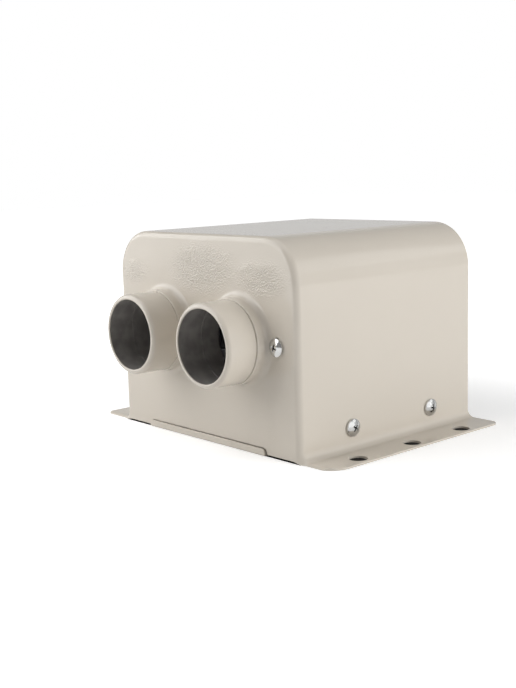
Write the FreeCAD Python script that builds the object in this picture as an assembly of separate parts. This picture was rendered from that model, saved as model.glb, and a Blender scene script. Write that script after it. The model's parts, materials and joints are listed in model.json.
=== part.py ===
"""Portable car heater: drawn steel cover, two outlet tubes, heater core and axial fan.

Millimetres. +X right, -Y the front with the outlets, +Z up. The origin is the centre of the
mounting-hole pattern, on the plane that the flanges rest on.
"""
import FreeCAD, Part
import math
import os

Vec = FreeCAD.Vector
ORIGIN = Vec(0, 0, 0)
X_AXIS = Vec(1, 0, 0)
Y_AXIS = Vec(0, 1, 0)
Z_AXIS = Vec(0, 0, 1)
SIDES = {"left": -1, "right": 1}

# Cover: one drawn sheet with a closed front, a rounded top and an open rear
casing_width = 130.0
casing_height = 98.2
casing_length = 117.0
sheet = 1.0
top_corner_radius = 21.0
front_edge_radius = 3.0
front_gap_height = 0.8
front_gap_run_out = 4.0
tongue_clearance = 0.4

# Flanges turned out along both sides of the cover, with three mounting holes each
flange_width = 19.0
flange_corner_radius = 4.0
flange_trimmed_radius = 11.0
flange_bend_radius = 4.0
mount_hole_radius = 4.25
mount_hole_edge = 6.0
mount_hole_pitch = 36.0

# Outlet tubes and the collars drawn out of the front face around them
outlet_rise = 1.9
outlet_gap = 16.0
outlet_tube_radius = 19.2
outlet_tube_wall = 0.9
outlet_reach = 22.4
outlet_rim_radius = 2.0
outlet_shoulder = 0.5
outlet_seam = 0.15
outlet_flange_width = 2.1
tube_clearance = 0.1
collar_height = 6.6
collar_wall = 1.0
collar_bend_radius = 3.0

# Inner plate that carries both tubes
outlet_plate_thickness = 1.0
outlet_plate_border = 5.0
outlet_plate_corner = 4.0

# Pan-head screws of the casing
screw_radius = 2.0
screw_head_radius = 4.1
screw_head_height = 2.4
screw_length = 9.0
screw_rim_share = 0.45
screw_dome_out_share = 0.62
screw_dome_up_share = 0.86
screw_fit = 0.05
screw_hole_clearance = 0.25
screw_seat_clearance = 0.15
side_screw_height = 10.8
side_screw_pitch = 54.4
side_screw_shift = 1.5
front_screw_offset = 5.6
front_screw_drop = 0.7
front_slot_travel = 2.1

# Chassis: floor, side tabs, front lip and rear wall bent from one sheet
chassis_clearance = 0.4
chassis_bend_radius = 2.0
floor_setback = 8.0
tab_height = 20.0
tab_length = 84.0
lip_width = 86.0
lip_height = 3.4
lip_corner_radius = 2.0
lip_gap = 0.2
rear_wall_recess = 1.0

# Heater core: flat tubes between corrugated fins, held in two end caps
core_setback = 28.0
core_depth = 20.0
tube_count = 3
stone_count = 4
stone_thickness = 2.8
stone_depth = 15.0
stone_gap = 0.4
electrode_thickness = 0.4
electrode_tab_width = 4.8
electrode_tab_length = 5.0
film_thickness = 0.2
film_side_room = 0.4
layer_fit = 0.05
heater_tube_wall = 0.9
fin_height = 10.0
fin_pitch = 4.0
fin_rise = 1.2
fin_end_gap = 0.3
rail_thickness = 1.5
cap_width = 10.0
cap_border = 2.0
cap_corner_radius = 1.5
cap_grip = 6.0
cap_fit = 0.1
bracket_thickness = 1.0
bracket_border = 4.5
bracket_height = 65.0
bracket_window = 40.0
bracket_foot_gap = 0.4
core_screw_radius = 1.5
core_screw_head_radius = 2.8
core_screw_head_height = 1.8
core_screw_length = 6.0
core_screw_spread = 48.0

# Thermal cut-out under a clip on the upper rail of the core
cutout_length = 18.0
cutout_width = 8.0
cutout_height = 4.0
cutout_corner_radius = 1.0
clip_thickness = 0.6
clip_width = 7.0
clip_foot = 6.0
clip_room = 0.1
clip_screw_radius = 1.0
clip_screw_head_radius = 2.0
clip_screw_head_height = 1.3

# Axial fan on the rear wall
fan_size = 80.0
fan_depth = 25.0
fan_hole_edge = 4.25
fan_corner_radius = 4.0
fan_duct_wall = 1.5
fan_flange_thickness = 4.0
fan_strut_count = 4
fan_strut_width = 4.0
fan_strut_thickness = 3.0
motor_base_thickness = 2.0
blade_count = 7
blade_tip_gap = 0.9
blade_thickness = 1.6
blade_start = 4.4
blade_height = 17.0
blade_root_pitch = 48.0
blade_tip_pitch = 62.0
blade_root_chord_share = 0.92
blade_camber = 2.2
blade_overrun = 2.5
hub_radius = 18.2
hub_wall = 1.6
hub_face_recess = 1.0
hub_rim_gap = 1.5
hub_edge_radius = 1.6
hub_boss_radius = 4.0
hub_boss_length = 5.5
yoke_wall = 1.0
magnet_thickness = 2.2
magnet_length = 10.0
air_gap = 0.4
stator_length = 6.0
stator_pole_count = 4
stator_arm_width = 4.5
stator_tip_thickness = 1.6
stator_hub_wall = 2.6
winding_build = 1.6
winding_corner_radius = 1.28
stator_pole_gap = 2.25
board_thickness = 1.2
bearing_tube_radius = 4.5
bearing_radius = 3.0
bearing_length = 12.5
bearing_bore_clearance = 0.03
bearing_floor = 0.6
press_fit = 0.01
shaft_radius = 1.5
shaft_end_gap = 0.6
shaft_tail = 0.85
groove_depth = 0.3
clip_ring_width = 1.1
clip_ring_thickness = 0.4
clip_ring_gap = 0.25

# Wire finger guard, and the screws that hold it and the fan
guard_wire_radius = 0.8
guard_weld = 0.1
guard_ring_count = 5
guard_spoke_count = 4
guard_wire_sides = 6
guard_inner_ring = 8.0
guard_eye_radius = 3.2
fan_opening_margin = 0.5
fan_screw_radius = 2.1
fan_screw_grip = 6.0

# Cable grommet in the rear wall
grommet_offset_x = 51.0
grommet_height = 14.0
grommet_hole_radius = 5.0
grommet_rim_radius = 7.0
grommet_rim_thickness = 1.6
grommet_bore_radius = 2.8
grommet_fit = 0.05

# Places that follow from the sizes above
half_width = casing_width / 2
casing_mid = casing_height / 2
front_y = -casing_length / 2
rear_y = casing_length / 2
flange_edge = half_width + flange_width
mount_hole_x = flange_edge - mount_hole_edge
outlet_x = outlet_tube_radius + outlet_gap / 2
outlet_height = casing_mid + outlet_rise
neck_radius = outlet_tube_radius - outlet_shoulder
collar_bore = neck_radius + tube_clearance
collar_tip = front_y - collar_height
collar_base = collar_bore + collar_wall + collar_bend_radius
collar_rim = collar_base + sheet
front_screw_x = outlet_x + outlet_tube_radius + front_screw_offset
front_screw_z = outlet_height - front_screw_drop
screw_hole_radius = screw_radius + screw_hole_clearance
screw_thread_radius = screw_radius + screw_fit

plate_front = front_y + sheet
plate_back = plate_front + outlet_plate_thickness
tube_flange_radius = neck_radius + outlet_flange_width
bracket_arm_x = front_screw_x + bracket_border

tab_outer_x = half_width - sheet - chassis_clearance
floor_front = front_y + floor_setback
wall_back = rear_y - rear_wall_recess
wall_front = wall_back - sheet

core_front = plate_back + core_setback
core_back = core_front + core_depth
core_mid = (core_front + core_back) / 2
film_height = stone_thickness + 2 * (electrode_thickness + layer_fit + film_thickness)
heater_tube_height = film_height + 2 * (layer_fit + heater_tube_wall)
core_step = fin_height + heater_tube_height
core_stack = tube_count * core_step + fin_height + 2 * rail_thickness
core_bottom = outlet_height - core_stack / 2
core_top = core_bottom + core_stack
cap_inner_x = bracket_arm_x - cap_width
core_grip_x = cap_inner_x + cap_grip

fan_height = casing_mid
fan_hole_pitch = fan_size - 2 * fan_hole_edge
fan_front = wall_front - fan_depth
fan_duct_radius = fan_size / 2 - fan_duct_wall
blade_tip_radius = fan_duct_radius - blade_tip_gap
hub_face = fan_depth - hub_face_recess
hub_floor = hub_face - hub_wall
hub_bore = hub_radius - hub_wall
hub_rim = motor_base_thickness + hub_rim_gap
magnet_outer = hub_bore - yoke_wall
magnet_inner = magnet_outer - magnet_thickness
stator_radius = magnet_inner - air_gap
stator_mid = hub_rim + magnet_length / 2
stator_start = stator_mid - stator_length / 2
shaft_start = bearing_floor + shaft_end_gap
clip_ring_start = shaft_start + shaft_tail
bearing_start = clip_ring_start + clip_ring_thickness + clip_ring_gap
bearing_end = bearing_start + bearing_length


def box(x0, x1, y0, y1, z0, z1):
    """Block between two corners."""
    return Part.makeBox(x1 - x0, y1 - y0, z1 - z0, Vec(x0, y0, z0))


def rod(radius, y0, y1, x=0.0, z=0.0):
    """Cylinder along Y."""
    return Part.makeCylinder(radius, y1 - y0, Vec(x, y0, z), Y_AXIS)


def pipe(outer, inner, y0, y1, x=0.0, z=0.0):
    """Hollow cylinder along Y."""
    return rod(outer, y0, y1, x, z).cut(rod(inner, y0, y1, x, z))


def rounded_edges(solid, radius, wanted):
    """Fillet the edges that the test picks."""
    return solid.makeFillet(radius, [edge for edge in solid.Edges if wanted(edge)])


def edge_runs(edge, axis):
    """True for a straight edge along one axis."""
    if edge.Curve.TypeId != "Part::GeomLine":
        return False
    return math.isclose(abs(edge.tangentAt(edge.FirstParameter).dot(axis)), 1)


def outline_face(start, steps):
    """Face inside a chain of lines (one point) and arcs (a point on the way, then the end)."""
    edges = []
    here = start
    for step in steps:
        if len(step) == 1:
            edges.append(Part.makeLine(here, step[0]))
        else:
            edges.append(Part.Arc(here, step[0], step[1]).toShape())
        here = step[-1]
    return Part.Face(Part.Wire(edges))


def polar(centre_r, centre_y, radius, degrees):
    """Point on a circle in the half plane (distance from the axis, y)."""
    turn = math.radians(degrees)
    return Vec(centre_r + radius * math.cos(turn), centre_y + radius * math.sin(turn), 0)


def turned(face, x, z):
    """Revolve a half-plane profile about a Y axis through (x, z)."""
    solid = face.revolve(ORIGIN, Y_AXIS, 360)
    solid.translate(Vec(x, 0, z))
    return solid


def arch_block(width, height, radius, bottom, y0, y1):
    """Block with straight sides and two rounded top corners."""
    half = width / 2
    inner = half - radius
    shoulder = height - radius
    lean = radius * math.sqrt(0.5)
    face = outline_face(Vec(-half, y0, bottom), [
        [Vec(-half, y0, shoulder)],
        [Vec(-inner - lean, y0, shoulder + lean), Vec(-inner, y0, height)],
        [Vec(inner, y0, height)],
        [Vec(inner + lean, y0, shoulder + lean), Vec(half, y0, shoulder)],
        [Vec(half, y0, bottom)],
        [Vec(-half, y0, bottom)],
    ])
    return face.extrude(Vec(0, y1 - y0, 0))


def brimmed_arch(half, height, radius, foot, level, y0, edge_radius):
    """Arch block that flares into a deep brim at one level, with its upper front edges rounded."""
    inner = half - radius
    shoulder = height - radius
    lean = radius * math.sqrt(0.5)
    foot_lean = foot * (1 - math.sqrt(0.5))
    deep = level - 2 * edge_radius
    face = outline_face(Vec(-flange_edge, y0, deep), [
        [Vec(-flange_edge, y0, level)],
        [Vec(-half - foot, y0, level)],
        [Vec(-half - foot_lean, y0, level + foot_lean), Vec(-half, y0, level + foot)],
        [Vec(-half, y0, shoulder)],
        [Vec(-inner - lean, y0, shoulder + lean), Vec(-inner, y0, height)],
        [Vec(inner, y0, height)],
        [Vec(inner + lean, y0, shoulder + lean), Vec(half, y0, shoulder)],
        [Vec(half, y0, level + foot)],
        [Vec(half + foot_lean, y0, level + foot_lean), Vec(half + foot, y0, level)],
        [Vec(flange_edge, y0, level)],
        [Vec(flange_edge, y0, deep)],
        [Vec(-flange_edge, y0, deep)],
    ])
    block = face.extrude(Vec(0, rear_y - y0, 0))

    def on_front(edge):
        box_of = edge.BoundBox
        return box_of.YMax < y0 + edge_radius / 10 and box_of.ZMin > level - edge_radius / 10

    return rounded_edges(block, edge_radius, on_front)


def pan_screw(radius, length, head_radius, head_height):
    """Screw along +Y with its seat at y = 0 and a domed head before it."""
    rim = head_height * screw_rim_share
    dome = Vec(head_radius * screw_dome_out_share, -head_height * screw_dome_up_share, 0)
    face = outline_face(Vec(0, -head_height, 0), [
        [dome, Vec(head_radius, -rim, 0)],
        [Vec(head_radius, 0, 0)],
        [Vec(radius, 0, 0)],
        [Vec(radius, length, 0)],
        [Vec(0, length, 0)],
        [Vec(0, -head_height, 0)],
    ])
    return face.revolve(ORIGIN, Y_AXIS, 360)


def placed(shape, axis, degrees, place):
    """Turned and moved copy."""
    copy = shape.copy()
    copy.rotate(ORIGIN, axis, degrees)
    copy.translate(place)
    return copy


def flange_outline():
    """Upright prism over the plan of the cover: one outer corner is trimmed rounder than the others."""
    prism = box(-flange_edge, flange_edge, front_y, rear_y, 0, casing_height)

    def trimmed(edge):
        return edge.BoundBox.XMin > 0 and edge.BoundBox.YMax < 0

    def upright(edge):
        return edge_runs(edge, Z_AXIS)

    prism = rounded_edges(prism, flange_corner_radius, lambda edge: upright(edge) and not trimmed(edge))
    return rounded_edges(prism, flange_trimmed_radius, lambda edge: upright(edge) and trimmed(edge))


def front_gap():
    """Gap under the front face, running out towards the flanges, with a notch over the tongue."""
    notch = lip_width / 2 + tongue_clearance
    notch_top = sheet + tongue_clearance
    straight = half_width - front_gap_run_out
    end = half_width + front_gap_run_out / 4
    face = outline_face(Vec(-end, front_y, 0), [
        [Vec(-straight, front_y, front_gap_height)],
        [Vec(-notch, front_y, front_gap_height)],
        [Vec(-notch, front_y, notch_top)],
        [Vec(notch, front_y, notch_top)],
        [Vec(notch, front_y, front_gap_height)],
        [Vec(straight, front_y, front_gap_height)],
        [Vec(end, front_y, 0)],
        [Vec(-end, front_y, 0)],
    ])
    return face.extrude(Vec(0, sheet, 0))


def collar(x):
    """Ring drawn forward out of the front face, with a bend on both sides of the sheet."""
    outer = collar_bore + collar_wall
    bend_y = front_y - collar_bend_radius
    back_bend = collar_bend_radius + sheet
    back_start = collar_bore + back_bend
    face = outline_face(Vec(collar_base, front_y, 0), [
        [polar(collar_base, bend_y, collar_bend_radius, 135), Vec(outer, bend_y, 0)],
        [Vec(outer, collar_tip, 0)],
        [Vec(collar_bore, collar_tip, 0)],
        [Vec(collar_bore, bend_y, 0)],
        [polar(back_start, bend_y, back_bend, 135), Vec(back_start, front_y + sheet, 0)],
        [Vec(collar_rim, front_y + sheet, 0)],
        [Vec(collar_rim, front_y, 0)],
        [Vec(collar_base, front_y, 0)],
    ])
    return turned(face, x, outlet_height)


def cover_shell():
    """Drawn cover with flanges, collars and holes."""
    skin = brimmed_arch(half_width, casing_height, top_corner_radius, flange_bend_radius, sheet,
                        front_y, front_edge_radius)
    skin = skin.common(flange_outline())
    skin = skin.cut(brimmed_arch(half_width - sheet, casing_height - sheet, top_corner_radius - sheet,
                                 flange_bend_radius + sheet, 0, plate_front, front_edge_radius - sheet))
    skin = skin.cut(front_gap())
    seat_radius = screw_head_radius + screw_seat_clearance
    for side in SIDES.values():
        skin = skin.cut(rod(collar_rim, front_y, plate_front, side * outlet_x, outlet_height))
        skin = skin.fuse(collar(side * outlet_x))
        skin = skin.cut(rod(seat_radius, front_y - screw_head_height, front_y, side * front_screw_x, front_screw_z))
        skin = skin.cut(front_slot(side * front_screw_x, front_y, plate_front))
        for place in side_screw_places(side, half_width):
            skin = skin.cut(Part.makeCylinder(screw_hole_radius, sheet, place, X_AXIS * -side))
        for row in (-1, 0, 1):
            place = Vec(side * mount_hole_x, row * mount_hole_pitch, 0)
            skin = skin.cut(Part.makeCylinder(mount_hole_radius, sheet, place, Z_AXIS))
    return skin.removeSplitter()


def side_screw_places(side, x):
    """Centres of the two side screws on an upright plane at a distance from the middle."""
    half = side_screw_pitch / 2
    return [Vec(side * x, side_screw_shift + row * half, side_screw_height) for row in (-1, 1)]


def front_slot(x, y0, y1):
    """Upright slot that lets the front screw be set in height."""
    top = front_screw_z + front_slot_travel
    slot = box(x - screw_hole_radius, x + screw_hole_radius, y0, y1, front_screw_z, top)
    slot = slot.fuse(rod(screw_hole_radius, y0, y1, x, front_screw_z))
    return slot.fuse(rod(screw_hole_radius, y0, y1, x, top))


def chassis_floor():
    """Floor with both side tabs, rounded along the bends."""
    floor = box(-tab_outer_x, tab_outer_x, floor_front, wall_back, 0, sheet)
    for side in SIDES.values():
        inner = side * (tab_outer_x - sheet)
        outer = side * tab_outer_x
        tab = box(min(inner, outer), max(inner, outer), -tab_length / 2, tab_length / 2, 0, tab_height)
        for place in side_screw_places(side, tab_outer_x):
            tab = tab.cut(Part.makeCylinder(screw_thread_radius, sheet, place, X_AXIS * -side))
        floor = floor.fuse(tab)

    def on_side_bend(edge):
        low = edge.BoundBox.ZMax < sheet / 10
        return low and edge_runs(edge, Y_AXIS) and abs(edge.BoundBox.Center.x) > tab_outer_x - sheet / 10

    return rounded_edges(floor.removeSplitter(), chassis_bend_radius, on_side_bend)


def chassis_lip():
    """Tongue under the front face, with its lip turned up before it."""
    half = lip_width / 2
    lip_back = front_y - lip_gap
    lip_front = lip_back - sheet
    tongue = box(-half, half, lip_front, floor_front, 0, sheet)
    lip = box(-half, half, lip_front, lip_back, 0, lip_height)

    def on_top_corner(edge):
        return edge_runs(edge, Y_AXIS) and edge.BoundBox.ZMin > lip_height - sheet / 10

    lip = rounded_edges(lip, lip_corner_radius, on_top_corner)
    piece = tongue.fuse(lip).removeSplitter()

    def on_bend(edge):
        return edge_runs(edge, X_AXIS) and edge.BoundBox.ZMax < sheet / 10 and edge.BoundBox.YMax < lip_back

    return rounded_edges(piece, sheet, on_bend)


def base_chassis():
    """Floor, lip and rear wall in one piece, with the fan opening and the grommet hole."""
    gap = sheet + chassis_clearance
    wall = arch_block(casing_width - 2 * gap, casing_height - gap, top_corner_radius - gap, 0,
                      wall_front, wall_back)
    opening = fan_duct_radius - fan_opening_margin
    wall = wall.cut(rod(opening, wall_front, wall_back, 0, fan_height))
    wall = wall.cut(rod(grommet_hole_radius, wall_front, wall_back, grommet_offset_x, grommet_height))
    for x, z in fan_hole_places():
        wall = wall.cut(rod(fan_screw_radius + screw_hole_clearance, wall_front, wall_back, x, z))
    return chassis_floor().multiFuse([chassis_lip(), wall]).removeSplitter()


def fan_hole_places():
    """Centres of the fan's four screws."""
    half = fan_hole_pitch / 2
    return [(x * half, fan_height + z * half) for x in (-1, 1) for z in (-1, 1)]


def outlet_tube(x):
    """Tube with a turned-in rim, a shoulder before the collar and a flared end behind the plate."""
    outer = outlet_tube_radius
    inner = outer - outlet_tube_wall
    neck_inner = neck_radius - outlet_tube_wall
    rim_y = front_y - outlet_reach
    rim_centre = outer - outlet_rim_radius
    rim_start = rim_y + outlet_rim_radius
    shoulder_y = collar_tip - outlet_seam
    flange_back = plate_back + outlet_tube_wall
    face = outline_face(Vec(rim_centre, rim_y, 0), [
        [polar(rim_centre, rim_start, outlet_rim_radius, -45), Vec(outer, rim_start, 0)],
        [Vec(outer, shoulder_y, 0)],
        [Vec(neck_radius, shoulder_y, 0)],
        [Vec(neck_radius, plate_back, 0)],
        [Vec(tube_flange_radius, plate_back, 0)],
        [Vec(tube_flange_radius, flange_back, 0)],
        [Vec(neck_radius, flange_back, 0)],
        [polar(neck_radius, plate_back, outlet_tube_wall, 135), Vec(neck_inner, plate_back, 0)],
        [Vec(neck_inner, shoulder_y - outlet_tube_wall, 0)],
        [Vec(inner, shoulder_y - outlet_tube_wall, 0)],
        [Vec(inner, rim_start, 0)],
        [polar(rim_centre, rim_start, outlet_rim_radius - outlet_tube_wall, -45),
         Vec(rim_centre, rim_y + outlet_tube_wall, 0)],
        [Vec(rim_centre, rim_y, 0)],
    ])
    return turned(face, x, outlet_height)


def outlet_plate():
    """Plate behind the front face with both tube holes and both screw holes."""
    half_x = front_screw_x + outlet_plate_border
    half_z = tube_flange_radius + outlet_plate_border
    plate = box(-half_x, half_x, plate_front, plate_back, outlet_height - half_z, outlet_height + half_z)
    plate = rounded_edges(plate, outlet_plate_corner, lambda edge: edge_runs(edge, Y_AXIS))
    for side in SIDES.values():
        plate = plate.cut(rod(collar_bore, plate_front, plate_back, side * outlet_x, outlet_height))
        plate = plate.cut(rod(screw_hole_radius, plate_front, plate_back, side * front_screw_x, front_screw_z))
    return plate


def side_screws():
    """Four screws through the cover into the chassis tabs."""
    screw = pan_screw(screw_radius, screw_length, screw_head_radius, screw_head_height)
    screws = []
    for side in SIDES.values():
        for place in side_screw_places(side, half_width):
            screws.append(placed(screw, Z_AXIS, side * 90, place))
    return Part.makeCompound(screws)


def front_screws():
    """Two screws through the front face and the outlet plate into the core brackets."""
    screw = pan_screw(screw_radius, screw_length, screw_head_radius, screw_head_height)
    places = [Vec(side * front_screw_x, front_y, front_screw_z) for side in SIDES.values()]
    return Part.makeCompound([placed(screw, Y_AXIS, 0, place) for place in places])


def core_bracket(side):
    """Angle bracket: a foot behind the outlet plate and a forked arm along the end cap."""
    foot_inner = outlet_x + tube_flange_radius + bracket_foot_gap
    arm_outer = bracket_arm_x + bracket_thickness
    low = outlet_height - bracket_height / 2
    high = outlet_height + bracket_height / 2
    foot = box(foot_inner, arm_outer, plate_back, plate_back + bracket_thickness, low, high)
    foot = foot.cut(rod(screw_thread_radius, plate_back, plate_back + bracket_thickness,
                        front_screw_x, front_screw_z))
    arm = box(bracket_arm_x, arm_outer, plate_back, core_back, low, high)
    window_front = core_front - cap_border
    window_half = bracket_window / 2
    arm = arm.cut(box(bracket_arm_x, arm_outer, window_front, core_back,
                      outlet_height - window_half, outlet_height + window_half))
    for place in core_screw_places():
        hole = Part.makeCylinder(core_screw_radius + screw_fit, bracket_thickness, place, X_AXIS)
        arm = arm.cut(hole)
    bracket = foot.fuse(arm).removeSplitter()

    def on_bend(edge):
        middle = edge.BoundBox.Center
        near = bracket_thickness / 10
        return edge_runs(edge, Z_AXIS) and middle.x > arm_outer - near and middle.y < plate_back + near

    bracket = rounded_edges(bracket, bracket_thickness, on_bend)
    if side < 0:
        bracket = bracket.mirror(ORIGIN, X_AXIS)
    return bracket


def core_screw_places():
    """Points on the inner face of the right bracket arm where the end cap is screwed on."""
    half = core_screw_spread / 2
    return [Vec(bracket_arm_x, core_mid, outlet_height + step * half) for step in (-1, 1)]


def core_screws():
    """Four screws through the bracket arms into the end caps."""
    screw = pan_screw(core_screw_radius, core_screw_length, core_screw_head_radius, core_screw_head_height)
    screws = []
    for place in core_screw_places():
        for side in SIDES.values():
            seat = Vec(side * (bracket_arm_x + bracket_thickness), place.y, place.z)
            screws.append(placed(screw, Z_AXIS, side * 90, seat))
    return Part.makeCompound(screws)


def tube_bottom(index):
    """Lower face of one heater tube."""
    return core_bottom + rail_thickness + fin_height + index * core_step


def core_end_cap(side):
    """Moulded cap with pockets for the tube and rail ends and slots for the electrode tabs."""
    low = core_bottom - cap_border
    high = core_top + cap_border
    cap = box(cap_inner_x, bracket_arm_x, core_front - cap_border, core_back + cap_border, low, high)
    cap = rounded_edges(cap, cap_corner_radius, lambda edge: edge_runs(edge, X_AXIS))
    grip = core_grip_x + cap_fit
    front = core_front - cap_fit
    back = core_back + cap_fit
    for index in range(tube_count):
        z = tube_bottom(index)
        cap = cap.cut(box(cap_inner_x, grip, front, back, z - cap_fit, z + heater_tube_height + cap_fit))
        half_tab = electrode_tab_width / 2 + cap_fit
        slot_low = z + heater_tube_wall
        slot_high = z + heater_tube_height - heater_tube_wall
        cap = cap.cut(box(grip, bracket_arm_x, core_mid - half_tab, core_mid + half_tab, slot_low, slot_high))
    for z in (core_bottom, core_top - rail_thickness):
        cap = cap.cut(box(cap_inner_x, grip, front, back, z - cap_fit, z + rail_thickness + cap_fit))
    for place in core_screw_places():
        hole = Part.makeCylinder(core_screw_radius + screw_fit, core_screw_length, place, X_AXIS * -1)
        cap = cap.cut(hole)
    if side < 0:
        cap = cap.mirror(ORIGIN, X_AXIS)
    return cap


def heater_tube(index):
    """Flat aluminium tube around one row of heating stones."""
    z = tube_bottom(index)
    tube = box(-core_grip_x, core_grip_x, core_front, core_back, z, z + heater_tube_height)
    tube = rounded_edges(tube, heater_tube_wall, lambda edge: edge_runs(edge, X_AXIS))
    bore = box(-core_grip_x, core_grip_x, core_front + heater_tube_wall, core_back - heater_tube_wall,
               z + heater_tube_wall, z + heater_tube_height - heater_tube_wall)
    return tube.cut(bore)


def insulating_film(index):
    """Film sleeve between the electrodes and the tube."""
    low = tube_bottom(index) + heater_tube_wall + layer_fit
    half = stone_depth / 2 + film_side_room
    outer = half + film_thickness
    sleeve = box(-core_grip_x, core_grip_x, core_mid - outer, core_mid + outer, low, low + film_height)
    return sleeve.cut(box(-core_grip_x, core_grip_x, core_mid - half, core_mid + half,
                          low + film_thickness, low + film_height - film_thickness))


def stone_bottom(index):
    """Lower face of the heating stones in one tube."""
    return tube_bottom(index) + heater_tube_height / 2 - stone_thickness / 2


def ptc_stones(index):
    """Row of ceramic heating stones in one tube."""
    z = stone_bottom(index)
    length = 2 * cap_inner_x / stone_count - stone_gap
    stones = []
    for place in range(stone_count):
        x = -cap_inner_x + stone_gap / 2 + place * (length + stone_gap)
        stones.append(box(x, x + length, core_mid - stone_depth / 2, core_mid + stone_depth / 2,
                          z, z + stone_thickness))
    return Part.makeCompound(stones)


def electrode(index, above):
    """Strip along the stones that leaves the right end cap as a tab."""
    z = stone_bottom(index) - electrode_thickness
    if above:
        z = stone_bottom(index) + stone_thickness
    top = z + electrode_thickness
    half_tab = electrode_tab_width / 2
    strip = box(-cap_inner_x, cap_inner_x, core_mid - stone_depth / 2, core_mid + stone_depth / 2, z, top)
    tab = box(cap_inner_x, bracket_arm_x + electrode_tab_length, core_mid - half_tab, core_mid + half_tab, z, top)
    return strip.fuse(tab).removeSplitter()


def fin_pack(index):
    """Corrugated fin strip between two tubes, or between a tube and a rail."""
    low = core_bottom + rail_thickness + index * core_step
    high = low + fin_height - fin_rise
    reach = cap_inner_x - fin_end_gap
    waves = int(2 * reach / fin_pitch)
    half_wave = reach / waves
    crests = []
    for turn in range(2 * waves + 1):
        crests.append(Vec(-reach + turn * half_wave, core_front, high if turn % 2 else low))
    lifted = [point + Vec(0, 0, fin_rise) for point in reversed(crests)]
    wire = Part.makePolygon(crests + lifted + crests[:1])
    return Part.Face(wire).extrude(Vec(0, core_depth, 0))


def core_rail(z):
    """Aluminium strip that closes the fin stack."""
    rail = box(-core_grip_x, core_grip_x, core_front, core_back, z, z + rail_thickness)
    if z > outlet_height:
        for x in clip_screw_places():
            hole = Part.makeCylinder(clip_screw_radius + screw_fit, rail_thickness, Vec(x, core_mid, z), Z_AXIS)
            rail = rail.cut(hole)
    return rail


def thermal_cutout():
    """Closed can of the over-temperature switch, lying on the upper rail."""
    half_x = cutout_length / 2
    half_y = cutout_width / 2
    can = box(-half_y, half_y, core_mid - half_x, core_mid + half_x, core_top, core_top + cutout_height)
    return rounded_edges(can, cutout_corner_radius, lambda edge: edge_runs(edge, Y_AXIS))


def clip_screw_places():
    """Distances along X of the two clip screws."""
    out = cutout_width / 2 + clip_room + clip_thickness + clip_foot / 2
    return [-out, out]


def cutout_clip():
    """Bridge of sheet over the cut-out, with a foot on each side."""
    inner = cutout_width / 2 + clip_room
    outer = inner + clip_thickness
    half = clip_width / 2
    front = core_mid - half
    back = core_mid + half
    roof = core_top + cutout_height
    clip = box(-outer, outer, front, back, core_top, roof + clip_thickness)
    clip = clip.cut(box(-inner, inner, front, back, core_top, roof))
    for side in SIDES.values():
        x0 = min(side * outer, side * (outer + clip_foot))
        foot = box(x0, x0 + clip_foot, front, back, core_top, core_top + clip_thickness)
        clip = clip.fuse(foot)
    for x in clip_screw_places():
        place = Vec(x, core_mid, core_top)
        clip = clip.cut(Part.makeCylinder(clip_screw_radius + screw_fit, clip_thickness, place, Z_AXIS))
    return clip.removeSplitter()


def clip_screws():
    """Two small screws that hold the clip on the rail."""
    length = clip_thickness + rail_thickness
    screw = pan_screw(clip_screw_radius, length, clip_screw_head_radius, clip_screw_head_height)
    seat = core_top + clip_thickness
    return Part.makeCompound([placed(screw, X_AXIS, -90, Vec(x, core_mid, seat)) for x in clip_screw_places()])


def fan_level(depth):
    """World y of a depth measured from the strut side of the fan."""
    return fan_front + depth


def fan_frame():
    """Square fan frame: duct, two flanges, struts, motor base and bearing tube."""
    half = fan_size / 2
    back = fan_level(fan_depth)
    duct = rod(half, fan_front, back)
    for start in (fan_front, back - fan_flange_thickness):
        plate = box(-half, half, start, start + fan_flange_thickness, -half, half)
        plate = rounded_edges(plate, fan_corner_radius, lambda edge: edge_runs(edge, Y_AXIS))
        duct = duct.fuse(plate)
    duct = duct.cut(rod(fan_duct_radius, fan_front, back))
    for x, z in fan_hole_places():
        duct = duct.cut(rod(fan_screw_radius + screw_fit, fan_front, back, x, z - fan_height))
    base_radius = hub_radius
    motor = rod(base_radius, fan_front, fan_level(motor_base_thickness))
    motor = motor.fuse(rod(bearing_tube_radius, fan_front, fan_level(bearing_end)))
    strut = box(base_radius - fan_strut_width, fan_duct_radius + fan_duct_wall / 2, fan_front,
                fan_level(fan_strut_thickness), -fan_strut_width / 2, fan_strut_width / 2)
    ring_gap = rod(hub_radius + hub_rim_gap, fan_level(motor_base_thickness), fan_level(fan_strut_thickness))
    for number in range(fan_strut_count):
        arm = placed(strut, Y_AXIS, (number + 0.5) * 360 / fan_strut_count, ORIGIN)
        motor = motor.fuse(arm.cut(ring_gap))
    motor = motor.cut(rod(bearing_radius, fan_level(bearing_floor), fan_level(bearing_end)))
    frame = duct.fuse(motor).removeSplitter()
    frame.translate(Vec(0, 0, fan_height))
    return frame


def blade_section(distance, pitch, chord):
    """Curved blade section in the plane at a distance from the axis along X."""
    slope = math.radians(pitch)
    along = Vec(0, math.cos(slope), math.sin(slope))
    across = Vec(0, -math.sin(slope), math.cos(slope))
    middle = Vec(distance, fan_level(blade_start + blade_height / 2), 0)
    nose = middle - along * (chord / 2)
    tail = middle + along * (chord / 2)
    half = blade_thickness / 2
    edge = across * (half / 2)
    upper = middle + across * (blade_camber + half)
    lower = middle + across * (blade_camber - half)
    return Part.Wire([
        Part.Arc(nose + edge, upper, tail + edge).toShape(),
        Part.makeLine(tail + edge, tail - edge),
        Part.Arc(tail - edge, lower, nose - edge).toShape(),
        Part.makeLine(nose - edge, nose + edge),
    ])


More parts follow.
